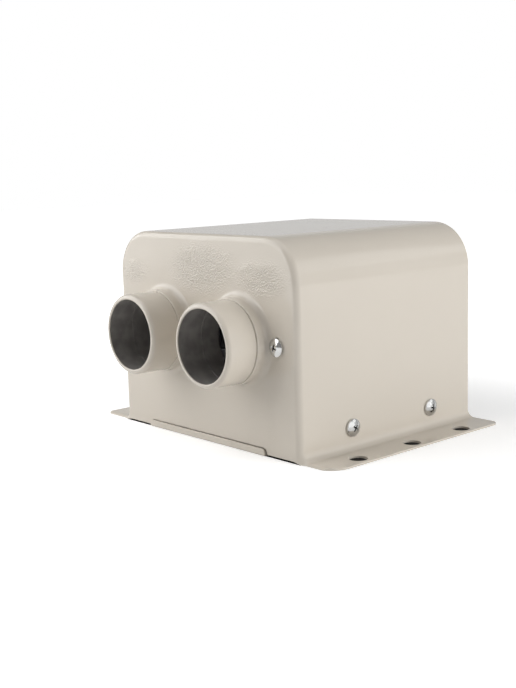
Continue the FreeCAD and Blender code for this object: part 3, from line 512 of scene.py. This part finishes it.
# %% Copies of the screw
def drive(name, places):
    """Copies of the screw, each given by its seat, the direction it is driven in, and its turn."""
    copies = []
    for seat, inward, turn in places:
        copy = screw.copy()
        copy.data = screw.data.copy()
        bpy.context.scene.collection.objects.link(copy)
        way = Vector((0, 1, 0)).rotation_difference(Vector(inward)).to_matrix()
        spin = Matrix.Rotation(math.radians(turn), 3, "Y")
        copy.matrix_world = Matrix.Translation(Vector(seat) * MM) @ (way @ spin).to_4x4()
        copies.append(copy)
    join(copies[0], copies[1:])
    copies[0].name = name
    bpy.ops.object.transform_apply(location=True, rotation=True, scale=True)
    return copies[0]


REAR_SEAT = 59.1
FAN_Z = 49.1
FAN_HOLE = 35.75
SIDE_TURNS = {1: (35, 12), -1: (70, 50)}
FRONT_TURNS = {1: 20, -1: 65}
FAN_TURN_X = 25
FAN_TURN_Z = 40
side_places = [((x * HALF_WIDTH, y, SIDE_SCREW_Z), (-x, 0, 0), turn)
               for x, turns in SIDE_TURNS.items() for y, turn in zip(SIDE_SCREW_YS, turns)]
front_places = [((x * FRONT_SCREW_X, FRONT, FRONT_SCREW_Z), (0, 1, 0), turn)
                for x, turn in FRONT_TURNS.items()]
fan_places = [((x * FAN_HOLE, REAR_SEAT, FAN_Z + z * FAN_HOLE), (0, -1, 0), FAN_TURN_X * x + FAN_TURN_Z * z)
              for x in (-1, 1) for z in (-1, 1)]
side_screws = drive("casing_screws_side", side_places)
front_screws = drive("casing_screws_front", front_places)
fan_screws = drive("fan_mount_screws", fan_places)
bpy.data.objects.remove(screw)
print("screws:", len(side_places) + len(front_places) + len(fan_places))

# %% [markdown]
# The chassis is the second bent sheet. It closes the bottom and the back: a floor, a tab on each
# side for the screws, a rear wall, and a tongue whose lip turns up before the front face. It is
# made the same way as the cover: a flat surface with its edges extruded, bends bevelled, then
# thickness.

# %% Chassis sheet
FLOOR_X = 63.6
FLOOR_FRONT = -50.5
WALL_BACK = 57.5
WALL_TOP = 96.8
WALL_CORNER = 19.6
LIP_X = 43.0
LIP_FRONT = -59.7
LIP_TOP = 3.4
LIP_CORNER = 2.0
TAB_Y = 42.0
TAB_TOP = 20.0
CHASSIS_BEND = 2.0
LIP_BEND = 1.0

chassis = add_block("chassis", (-FLOOR_X, FLOOR_FRONT, 0), (FLOOR_X, WALL_BACK, SHEET))
pick("FACE", lambda face: not level(face, Z, 0))
bpy.ops.mesh.delete(type="FACE")
for place, normal in (((LIP_X, 0, 0), (1, 0, 0)), ((-LIP_X, 0, 0), (1, 0, 0)),
                      ((0, TAB_Y, 0), (0, 1, 0)), ((0, -TAB_Y, 0), (0, 1, 0))):
    bpy.ops.mesh.select_all(action="SELECT")
    bpy.ops.mesh.bisect(plane_co=Vector(place) * MM, plane_no=normal)
pick("EDGE", lambda edge: level(edge, Y, FLOOR_FRONT) and abs(middle(edge).x) < LIP_X)
bpy.ops.mesh.extrude_region_move(TRANSFORM_OT_translate=push(y=LIP_FRONT - FLOOR_FRONT))
bpy.ops.mesh.extrude_region_move(TRANSFORM_OT_translate=push(z=LIP_TOP))
pick("EDGE", lambda edge: level(edge, Y, WALL_BACK))
bpy.ops.mesh.extrude_region_move(TRANSFORM_OT_translate=push(z=WALL_TOP))
for side in (-1, 1):
    pick("EDGE", lambda edge: level(edge, X, side * FLOOR_X) and level(edge, Z, 0)
         and abs(middle(edge).y) < TAB_Y)
    bpy.ops.mesh.extrude_region_move(TRANSFORM_OT_translate=push(z=TAB_TOP))
pick("VERT", lambda vert: near(middle(vert).z, WALL_TOP) and near(abs(middle(vert).x), FLOOR_X))
bpy.ops.mesh.bevel(offset=WALL_CORNER * MM, segments=24, affect="VERTICES", clamp_overlap=False)
pick("VERT", lambda vert: near(middle(vert).z, LIP_TOP))
bpy.ops.mesh.bevel(offset=LIP_CORNER * MM, segments=8, affect="VERTICES", clamp_overlap=False)
pick("EDGE", lambda edge: level(edge, Z, 0) and level(edge, Y, LIP_FRONT)
     and abs(middle(edge).x) < LIP_X + HAIR)
bpy.ops.mesh.bevel(offset=LIP_BEND * MM, segments=6, affect="EDGES", clamp_overlap=False)
pick("EDGE", lambda edge: level(edge, Z, 0) and not edge.is_boundary
     and (level(edge, Y, WALL_BACK) or near(abs(middle(edge).x), FLOOR_X)))
bpy.ops.mesh.bevel(offset=CHASSIS_BEND * MM, segments=6, affect="EDGES", clamp_overlap=False)
close_edit()
print("chassis surface:", len(chassis.data.polygons), "faces")

# %% [markdown]
# The chassis gets its thickness and its holes: a large one for the fan with four screw holes round
# it, one for the cable grommet, and one in each tab for a casing screw.

# %% Chassis thickness and holes
FAN_OPENING = 38.0
FAN_SCREW_HOLE = 2.35
GROMMET_X = 51.0
GROMMET_Z = 14.0
GROMMET_HOLE = 5.0
WALL_FRONT = WALL_BACK - SHEET
THROUGH = 3
THREAD_ROOM = 0.05

apply_modifier(chassis, "SOLIDIFY", thickness=SHEET * MM, offset=-1, use_quality_normals=True)
wall_holes = [(0, FAN_Z, FAN_OPENING, ROUND_STEPS), (GROMMET_X, GROMMET_Z, GROMMET_HOLE, 48)]
wall_holes += [(x * FAN_HOLE, FAN_Z + z * FAN_HOLE, FAN_SCREW_HOLE, 32) for x in (-1, 1) for z in (-1, 1)]
for x, z, radius, steps in wall_holes:
    hole = rod("wall_hole", radius, (x, WALL_FRONT - THROUGH, z), (x, WALL_BACK + THROUGH, z), steps)
    combine(chassis, hole, "DIFFERENCE")
for y in SIDE_SCREW_YS:
    hole = rod("tab_hole", SHANK + THREAD_ROOM, (-HALF_WIDTH, y, SIDE_SCREW_Z), (HALF_WIDTH, y, SIDE_SCREW_Z))
    combine(chassis, hole, "DIFFERENCE")
break_edges(chassis, EDGE_BREAK, BREAK_ANGLE)
print("chassis:", len(chassis.data.polygons), "faces")

# %% [markdown]
# The finger guard is welded from round wire: five rings on four spokes, and each spoke ends in an
# eye for a screw. Rings are tori and spokes are rods, and each is united with the rest, so that
# the welds are real joints and not two wires that pass through each other.

# %% Wire guard
WIRE = 0.8
WELD_DEPTH = 0.1
SPOKE_Y = WALL_BACK + WIRE
RING_Y = SPOKE_Y + 2 * WIRE - WELD_DEPTH
RINGS = (8.0, 15.5, 23.0, 30.5, 38.0)
EYE = 3.2
WIRE_STEPS = 16
INNER_STEPS = 52
RING_STEPS = 108
EYE_STEPS = 36


def wire_ring(radius, x, y, z, steps):
    """Ring of round wire about an axis along Y."""
    bpy.ops.object.select_all(action="DESELECT")
    bpy.ops.mesh.primitive_torus_add(major_radius=radius * MM, minor_radius=WIRE * MM, major_segments=steps,
                                     minor_segments=WIRE_STEPS, location=Vector((x, y, z)) * MM,
                                     rotation=(math.pi / 2, 0, 0))
    bpy.ops.object.transform_apply(location=True, rotation=True, scale=True)
    return bpy.context.object


guard = wire_ring(RINGS[0], 0, RING_Y, FAN_Z, INNER_STEPS)
guard.name = "finger_guard"
for radius in RINGS[1:]:
    combine(guard, wire_ring(radius, 0, RING_Y, FAN_Z, RING_STEPS), "UNION")
for x in (-1, 1):
    for z in (-1, 1):
        out = Vector((x, 0, z)).normalized()
        hub = Vector((0, SPOKE_Y, FAN_Z))
        eye = hub + Vector((x * FAN_HOLE, 0, z * FAN_HOLE))
        start = hub + out * (RINGS[0] - WIRE)
        stop = eye - out * (EYE - WIRE / 2)
        spoke = rod("spoke", WIRE, start, stop, WIRE_STEPS)
        combine(spoke, wire_ring(EYE, *eye, EYE_STEPS), "UNION")
        combine(guard, spoke, "UNION")
print("guard:", len(guard.data.polygons), "faces")

# %% [markdown]
# The grommet is a soft ring pressed into the rear wall. Its groove holds the edge of the sheet,
# and both rims are rounded. It is turned like the tubes.

# %% Cable grommet
GROMMET_RIM = 7.0
GROMMET_BORE = 2.8
RIM_THICK = 1.6
RIM_ROUND = 0.75
BORE_ROUND = 0.5
GROMMET_FIT = 0.05
GROMMET_STEPS = 64
GROMMET_NECK = GROMMET_HOLE - GROMMET_FIT
front_rim = WALL_FRONT - RIM_THICK
back_rim = WALL_BACK + RIM_THICK
grommet_section = (
    arc(GROMMET_BORE + BORE_ROUND, front_rim + BORE_ROUND, BORE_ROUND, 180, 270, steps=5)
    + arc(GROMMET_RIM - RIM_ROUND, front_rim + RIM_ROUND, RIM_ROUND, -90, 0, steps=6)
    + [(GROMMET_RIM, WALL_FRONT), (GROMMET_NECK, WALL_FRONT)]
    + [(GROMMET_NECK, WALL_BACK), (GROMMET_RIM, WALL_BACK)]
    + arc(GROMMET_RIM - RIM_ROUND, back_rim - RIM_ROUND, RIM_ROUND, 0, 90, steps=6)
    + arc(GROMMET_BORE + BORE_ROUND, back_rim - BORE_ROUND, BORE_ROUND, 90, 180, steps=5)
    + [(GROMMET_BORE, front_rim + BORE_ROUND)])
grommet = turn_piece("grommet", grommet_section, GROMMET_X, GROMMET_Z, GROMMET_STEPS)
print("grommet:", len(grommet.data.polygons), "faces")

# %% [markdown]
# A finish is a material made of nodes. Two small helpers keep them readable: a Link stands for the
# output of a node, so sums and products can be written as plain expressions, and a Finish adds
# nodes and connects them to the shader of one material.

# %% Helpers for finishes
class Link:
    """One output socket of a graph; arithmetic on it adds Math nodes."""

    def __init__(self, graph, socket):
        self.graph = graph
        self.socket = socket

    def math(self, operation, first, second=0.0):
        """Add a Math node and give its output."""
        return self.graph.node("ShaderNodeMath", {"operation": operation}, {0: first, 1: second})

    def __add__(self, other):
        return self.math("ADD", self, other)

    def __radd__(self, other):
        return self.math("ADD", other, self)

    def __sub__(self, other):
        return self.math("SUBTRACT", self, other)

    def __rsub__(self, other):
        return self.math("SUBTRACT", other, self)

    def __mul__(self, other):
        return self.math("MULTIPLY", self, other)

    def __rmul__(self, other):
        return self.math("MULTIPLY", other, self)

    def __lt__(self, other):
        return self.math("LESS_THAN", self, other)

    def __abs__(self):
        return self.math("ABSOLUTE", self)


class Graph:
    """Shader nodes that are added call by call."""

    def __init__(self, tree):
        self.tree = tree

    def node(self, kind, settings=None, inputs=None, output=0):
        """Add a node, give it its settings, then its values and links."""
        made = self.tree.nodes.new(kind)
        for name, value in (settings or {}).items():
            setattr(made, name, value)
        for socket, value in (inputs or {}).items():
            self.feed(made.inputs[socket], value)
        return Link(self, made.outputs[output])

    def feed(self, socket, value):
        """Link a socket, or set its value."""
        if isinstance(value, Link):
            self.tree.links.new(value.socket, socket)
        else:
            socket.default_value = value

    def ramp(self, value, low, high, start=0.0, stop=1.0):
        """Stretch a value so that low becomes start and high becomes stop, smoothly."""
        return self.node("ShaderNodeMapRange", {"interpolation_type": "SMOOTHSTEP"},
                         {"Value": value, "From Min": low, "From Max": high, "To Min": start, "To Max": stop})

    def mix(self, factor, first, second):
        """Mix two colours."""
        return self.node("ShaderNodeMix", {"data_type": "RGBA"}, {0: factor, 6: first, 7: second}, 2)

    def rays(self, kind):
        """1 for one kind of ray, 0 for all others."""
        return self.node("ShaderNodeLightPath", output=f"Is {kind} Ray")


class Finish(Graph):
    """A material with one shader."""

    def __init__(self, name, fixed):
        self.material = bpy.data.materials.new(name)
        self.material.use_nodes = True
        super().__init__(self.material.node_tree)
        self.shader = self.tree.nodes["Principled BSDF"]
        for socket, value in fixed.items():
            self.shader.inputs[socket].default_value = value
        self.place = self.node("ShaderNodeTexCoord", output="Object")

    def noise(self, size_mm, detail=2.0, stretch=(1, 1, 1)):
        """Noise from 0 to 1 whose grains are about size_mm across, longer along a stretched axis."""
        place = self.node("ShaderNodeVectorMath", {"operation": "DIVIDE"}, {0: self.place, 1: stretch})
        return self.node("ShaderNodeTexNoise", None,
                         {"Vector": place, "Scale": 1 / (size_mm * MM), "Detail": detail})

    def bump(self, height, depth_mm):
        """Normal of a surface that rises by depth_mm where height goes from 0 to 1."""
        return self.node("ShaderNodeBump", None, {"Height": height, "Distance": depth_mm * MM})

    def wear(self, colour, roughness, normal):
        """Link what changes over the surface to the shader."""
        self.feed(self.shader.inputs["Base Color"], colour)
        self.feed(self.shader.inputs["Roughness"], roughness)
        self.feed(self.shader.inputs["Normal"], normal)


finishes = {}
print("finish helpers ready")

# %% [markdown]
# The casing has a glossy powder coat in a warm light grey. Powder melts into a skin with soft
# waves about a millimetre wide, called orange peel, which break up the edges of reflections. The
# waves are faint nearly everywhere and coarse in three ragged spots on the upper front, where the
# powder lay too thick. The spots are wider than high, so heights count double.

# %% Powder coat
PAINT = (0.655, 0.602, 0.526, 1)
PAINT_SHADE = (0.64, 0.588, 0.513, 1)
FAINT = 0.2
COARSE = 4.4
SPOTS = (((1, FRONT, 82), 29), ((43, FRONT, 79.5), 20), ((-52, FRONT, 78), 13))
FLATTER = Vector((1, 1, 2))
SPOT_CORE = 0.5
SPOT_FADE = 6
RAGGED = 8
RAGGED_GRAIN = 5
CLOUD = 45
GLOSS = 0.05
GLOSS_GRAIN = 9
PEEL = 0.8
PEEL_DEPTH = 0.18

coat = Finish("powder_coat", {"Specular IOR Level": 0.5})
flat_place = coat.node("ShaderNodeVectorMath", {"operation": "MULTIPLY"}, {0: coat.place, 1: FLATTER})
ragged = RAGGED * MM * coat.noise(RAGGED_GRAIN)
strength = FAINT
for centre, reach in SPOTS:
    away = coat.node("ShaderNodeVectorMath", {"operation": "DISTANCE"},
                     {0: flat_place, 1: Vector(centre) * FLATTER * MM}, "Value")
    inside = coat.ramp(away + ragged, SPOT_CORE * reach * MM, (reach + SPOT_FADE) * MM, 1, 0)
    strength = strength + COARSE * inside
coat.wear(colour=coat.mix(coat.ramp(coat.noise(CLOUD), 0.3, 0.7), PAINT, PAINT_SHADE),
          roughness=GLOSS + GLOSS * coat.noise(GLOSS_GRAIN),
          normal=coat.bump(coat.noise(PEEL, 1) * strength, PEEL_DEPTH))
finishes["casing_paint"] = coat.material
print("powder coat:", len(coat.tree.nodes), "nodes")

# %% [markdown]
# Inside, the outlet tubes lie in shade, and that shade is painted in. The faces there get a finish
# of their own: a painted shade, a dull dark grey in two tones that change in cloudy patches.

# %% Inside of the tubes
BORE_DARK = (0.25, 0.235, 0.225, 1)
BORE_LIGHT = (0.35, 0.33, 0.315, 1)

# Painted shade: these dark colours stand for the shade deep in the bore.
bore_shade = Finish("painted_shade_bore", {"Specular IOR Level": 0.4})
patch = bore_shade.noise(6, 3)
bore_shade.wear(colour=bore_shade.mix(bore_shade.ramp(patch, 0.3, 0.7), BORE_DARK, BORE_LIGHT),
          roughness=0.45 + 0.2 * patch, normal=bore_shade.bump(bore_shade.noise(1.2, 2), 0.02))
print("bore:", len(bore_shade.tree.nodes), "nodes")

# %% [markdown]
# Zinc plate on screws and galvanised sheet are both zinc. Plating is smooth and bright with a
# slight haze, while hot-dip sheet shows crystals, which Voronoi cells of several millimetres imitate.
# Bare aluminium is brushed along the tubes, so its noise is stretched along X.

# %% Bare metals
CRYSTAL = 6
BRUSHED_ALONG = (30, 1, 1)

zinc = Finish("zinc_plate", {"Metallic": 1.0})
haze = zinc.noise(1.6, 3)
zinc.wear(colour=zinc.mix(haze, (0.60, 0.61, 0.62, 1), (0.78, 0.77, 0.75, 1)),
          roughness=0.08 + 0.12 * haze, normal=zinc.bump(zinc.noise(0.25, 2), 0.004))
finishes["zinc_screw"] = zinc.material

galvanised = Finish("galvanised_sheet", {"Metallic": 1.0})
crystal = galvanised.node("ShaderNodeTexVoronoi", None,
                          {"Vector": galvanised.place, "Scale": 1 / (CRYSTAL * MM)}, "Color")
tone = galvanised.node("ShaderNodeSeparateColor", None, {"Color": crystal})
galvanised.wear(colour=galvanised.mix(tone, (0.42, 0.44, 0.46, 1), (0.6, 0.62, 0.63, 1)),
                roughness=0.3 + 0.2 * tone, normal=galvanised.bump(galvanised.noise(0.5, 2), 0.006))
finishes["galvanised_sheet"] = galvanised.material

brushed = Finish("brushed_aluminium", {"Metallic": 1.0})
lines = brushed.noise(0.4, 2, BRUSHED_ALONG)
brushed.wear(colour=brushed.mix(lines, (0.6, 0.61, 0.62, 1), (0.78, 0.79, 0.8, 1)),
             roughness=0.28 + 0.2 * lines, normal=brushed.bump(lines, 0.006))
finishes["core_aluminium"] = brushed.material
print("bare metals: 3 finishes")

# %% [markdown]
# The remaining finishes follow two patterns. Moulded and fired parts are dull with a fine grain;
# small metal parts are a tinted metal with a haze. Each pattern is one function, and a table holds
# the colours that the real materials have.

# %% Moulded parts and small metal parts
def dull(name, dark, light, rough, grain_mm, depth_mm):
    """Non-metal with two close tones, a fine grain and a matching roughness."""
    finish = Finish(name, {"Specular IOR Level": 0.45})
    cloud = finish.noise(grain_mm * 12, 3)
    fine = finish.noise(grain_mm, 2)
    finish.wear(colour=finish.mix(finish.ramp(cloud, 0.3, 0.7), dark, light),
                roughness=rough + 0.12 * fine, normal=finish.bump(fine, depth_mm))
    return finish.material


def bright(name, dark, light, rough, stretch=(1, 1, 1)):
    """Metal with a haze that may run along one axis."""
    finish = Finish(name, {"Metallic": 1.0})
    haze = finish.noise(0.9, 3, stretch)
    finish.wear(colour=finish.mix(haze, dark, light), roughness=rough + 0.18 * haze,
                normal=finish.bump(haze, 0.004))
    return finish.material


DULL = {
    "fan_plastic": ("fan_moulding", (0.028, 0.028, 0.03, 1), (0.042, 0.042, 0.044, 1), 0.38, 0.5, 0.012),
    "cap_plastic": ("cap_moulding", (0.03, 0.028, 0.026, 1), (0.05, 0.047, 0.043, 1), 0.45, 0.6, 0.015),
    "grommet_rubber": ("grommet_rubber", (0.013, 0.013, 0.013, 1), (0.026, 0.026, 0.026, 1), 0.6, 0.4, 0.02),
    "heating_ceramic": ("heating_ceramic", (0.09, 0.085, 0.08, 1), (0.15, 0.14, 0.13, 1), 0.7, 0.3, 0.02),
    "ferrite": ("ferrite", (0.02, 0.02, 0.022, 1), (0.04, 0.04, 0.043, 1), 0.55, 0.3, 0.01),
    "board_laminate": ("board_laminate", (0.02, 0.1, 0.045, 1), (0.03, 0.14, 0.06, 1), 0.3, 0.8, 0.006),
    "insulating_film": ("insulating_film", (0.42, 0.19, 0.03, 1), (0.52, 0.26, 0.05, 1), 0.25, 1.5, 0.004),
}
BRIGHT = {
    "cutout_can": ("cutout_can", (0.5, 0.5, 0.49, 1), (0.66, 0.65, 0.63, 1), 0.28),
    "motor_steel": ("motor_steel", (0.42, 0.42, 0.43, 1), (0.58, 0.58, 0.59, 1), 0.3, (1, 8, 1)),
    "bearing_bronze": ("bearing_bronze", (0.5, 0.3, 0.13, 1), (0.62, 0.4, 0.19, 1), 0.35),
    "winding_copper": ("winding_copper", (0.55, 0.2, 0.08, 1), (0.72, 0.32, 0.15, 1), 0.25, (1, 12, 1)),
    "electrode_brass": ("electrode_brass", (0.6, 0.42, 0.15, 1), (0.74, 0.55, 0.24, 1), 0.28),
    "guard_wire": ("plated_wire", (0.6, 0.61, 0.62, 1), (0.74, 0.74, 0.75, 1), 0.16),
}
for slot_name, values in DULL.items():
    finishes[slot_name] = dull(*values)
for slot_name, values in BRIGHT.items():
    finishes[slot_name] = bright(*values)
print("finishes:", sorted(finishes))

# %% [markdown]
# Every piece now gets its finish, smooth shading up to a crease angle, and its place in the model:
# it rides on the casing and stands for the CAD node that it replaces. Pieces that stay as the CAD
# drew them only get a finish, chosen by the slot that the record names.

# %% Dress the pieces
CREASE = math.radians(32)
BORE_ROOM = 0.05


def dress(piece, node, slot_name):
    """Smooth a piece, give it its finish and let it stand for a node of the casing."""
    only(piece)
    bpy.ops.object.shade_smooth_by_angle(angle=CREASE)
    apply_modifier(piece, "WEIGHTED_NORMAL", keep_sharp=True)
    piece.data.materials.clear()
    piece.data.materials.append(finishes[slot_name])
    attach(piece, "casing")
    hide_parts(node)


dress(cover, "cover_shell", "casing_paint")
dress(chassis, "base_chassis", "casing_paint")
dress(tubes["left"], "outlet_tube_left", "casing_paint")
dress(tubes["right"], "outlet_tube_right", "casing_paint")
dress(side_screws, "side_screws", "zinc_screw")
dress(front_screws, "front_screws", "zinc_screw")
dress(fan_screws, "fan_screws", "zinc_screw")
dress(guard, "fan_guard", "guard_wire")
dress(grommet, "cable_grommet", "grommet_rubber")

# The faces inside each bore get the painted shade finish.
for side, x in (("left", -OUTLET_X), ("right", OUTLET_X)):
    tubes[side].data.materials.append(bore_shade.material)
    for face in tubes[side].data.polygons:
        reach = math.hypot(face.center.x / MM - x, face.center.z / MM - OUTLET_Z)
        face.material_index = int(reach < tube_in + BORE_ROOM and face.center.y / MM > RIM_Y + TUBE_WALL)

for subpart in frame["record"]["subparts"]:
    node = frame["nodes"][subpart["node"]]
    for slot_of_node in node.material_slots:
        slot_of_node.material = finishes[subpart["material_slot"]]

# %% [markdown]
# The stage is a pale floor under a pale world. Both are white to the camera, and the floor keeps a
# soft shadow near the part. Under the part a shadow is painted: the floor's colour is black there,
# so that holes and gaps look deep. Glossy surfaces see a lighter wall behind the part, a bright
# window at the right and a dim room elsewhere.

# %% Floor and world
AMBIENT = 0.2
ROOM = 0.25
WALL = 0.6
BEHIND = (-0.75, 0.66, 0)
WINDOW = 1.0
RIGHT = (0.98, 0.05, 0.2)
FLOOR_SIZE = 6
FLOOR_DROP = 0.05
FLOOR_MIRRORED = 0.4
FLOOR_TONE = (0.86, 0.86, 0.86, 1)
PAINTED_SHADOW_X = 82.5
PAINTED_SHADOW_Y = 47
GLOW_FROM, GLOW_TO = 0.1, 0.3
GLOW_NEAR, GLOW_FAR = 0.4, 0.85
BLACK = (0, 0, 0, 1)
WHITE = (1, 1, 1, 1)

bpy.ops.object.select_all(action="DESELECT")
bpy.ops.mesh.primitive_plane_add(size=FLOOR_SIZE, location=(0, 0, -FLOOR_DROP * MM))
floor = bpy.context.object
floor.name = "studio_floor"
ground = Finish("pale_floor", {"Roughness": 0.9, "Emission Strength": 1.0})
across = abs(ground.node("ShaderNodeSeparateXYZ", None, {0: ground.place}, "X"))
along = abs(ground.node("ShaderNodeSeparateXYZ", None, {0: ground.place}, "Y"))
distance = ground.node("ShaderNodeVectorMath", {"operation": "LENGTH"}, {0: ground.place}, "Value")
# Painted shadow: under the casing and its flanges the floor's colour is black, and it doesn't glow there.
painted_shadow_box = (across < HALF_WIDTH * MM) * (along < REAR * MM)
painted_shadow_flanges = (across < PAINTED_SHADOW_X * MM) * (along < PAINTED_SHADOW_Y * MM)
outside_painted_shadow = (1 - painted_shadow_box) * (1 - painted_shadow_flanges)
seen = ground.rays("Camera") + ground.rays("Transmission") + FLOOR_MIRRORED * ground.rays("Glossy")
glow = ground.ramp(distance, GLOW_FROM, GLOW_TO, GLOW_NEAR, GLOW_FAR) * outside_painted_shadow * seen
ground.feed(ground.shader.inputs["Base Color"], ground.mix(outside_painted_shadow, BLACK, FLOOR_TONE))
ground.feed(ground.shader.inputs["Emission Color"], ground.mix(glow, BLACK, WHITE))
floor.data.materials.append(ground.material)

world = bpy.data.worlds.new("studio")
bpy.context.scene.world = world
world.use_nodes = True
sky = Graph(world.node_tree)
way = sky.node("ShaderNodeTexCoord", output="Generated")
height = sky.node("ShaderNodeSeparateXYZ", None, {0: way}, "Z")
behind = sky.node("ShaderNodeVectorMath", {"operation": "DOT_PRODUCT"}, {0: way, 1: BEHIND}, "Value")
wall = sky.ramp(behind, -0.1, 0.5) * sky.ramp(height, 0.2, 0.6, 1.0, 0.0)
rightward = sky.node("ShaderNodeVectorMath", {"operation": "DOT_PRODUCT"}, {0: way, 1: RIGHT}, "Value")
mirrored = ROOM + (WALL - ROOM) * wall + WINDOW * sky.ramp(rightward, 0.8, 0.95)
level_seen = (AMBIENT + (1 - AMBIENT) * (sky.rays("Camera") + sky.rays("Transmission"))
              + sky.rays("Glossy") * (mirrored - AMBIENT))
backdrop = world.node_tree.nodes["Background"]
backdrop.inputs["Color"].default_value = WHITE
sky.feed(backdrop.inputs["Strength"], level_seen)
print("floor and world ready")

# %% [markdown]
# Seven soft lamps light the part. The key lamp at the right lights the side and isn't mirrored,
# because its image would burn out the top. A large one high at the front left lights the front and
# gives the bend its highlight. The weaker ones fill in from behind, from the front and from above.

# %% Lamps
def lamp(name, place, target, size, power):
    """Rectangular lamp aimed at a point, in millimetres and watts."""
    data = bpy.data.lights.new(name, "AREA")
    data.shape = "RECTANGLE"
    data.size = size[0] * MM
    data.size_y = size[1] * MM
    data.energy = power
    made = bpy.data.objects.new(name, data)
    place = Vector(place) * MM
    made.matrix_world = (Matrix.Translation(place)
                         @ (place - Vector(target) * MM).to_track_quat("Z", "Y").to_matrix().to_4x4())
    made.visible_camera = False
    bpy.context.scene.collection.objects.link(made)
    return made


key = lamp("key", (1000, 250, 170), (0, 0, 50), (600, 300), 5.9)
key.visible_glossy = False
lamp("rear", (900, 700, 300), (0, 0, 50), (600, 400), 0.32)
lamp("rear_high", (700, 700, 600), (0, 0, 50), (600, 400), 0.68)
lamp("front_low", (-450, -470, 112), (0, -58, 112), (520, 180), 0.42)
lamp("front_high", (-520, -540, 520), (0, -58, 300), (1000, 700), 5.5)
lamp("front_top", (-150, -400, 750), (0, -40, 50), (400, 300), 0.53)
lamp("top", (0, 0, 900), (0, 0, 0), (700, 700), 1.4)
bpy.context.scene.view_settings.view_transform = "Standard"
print("lamps ready")
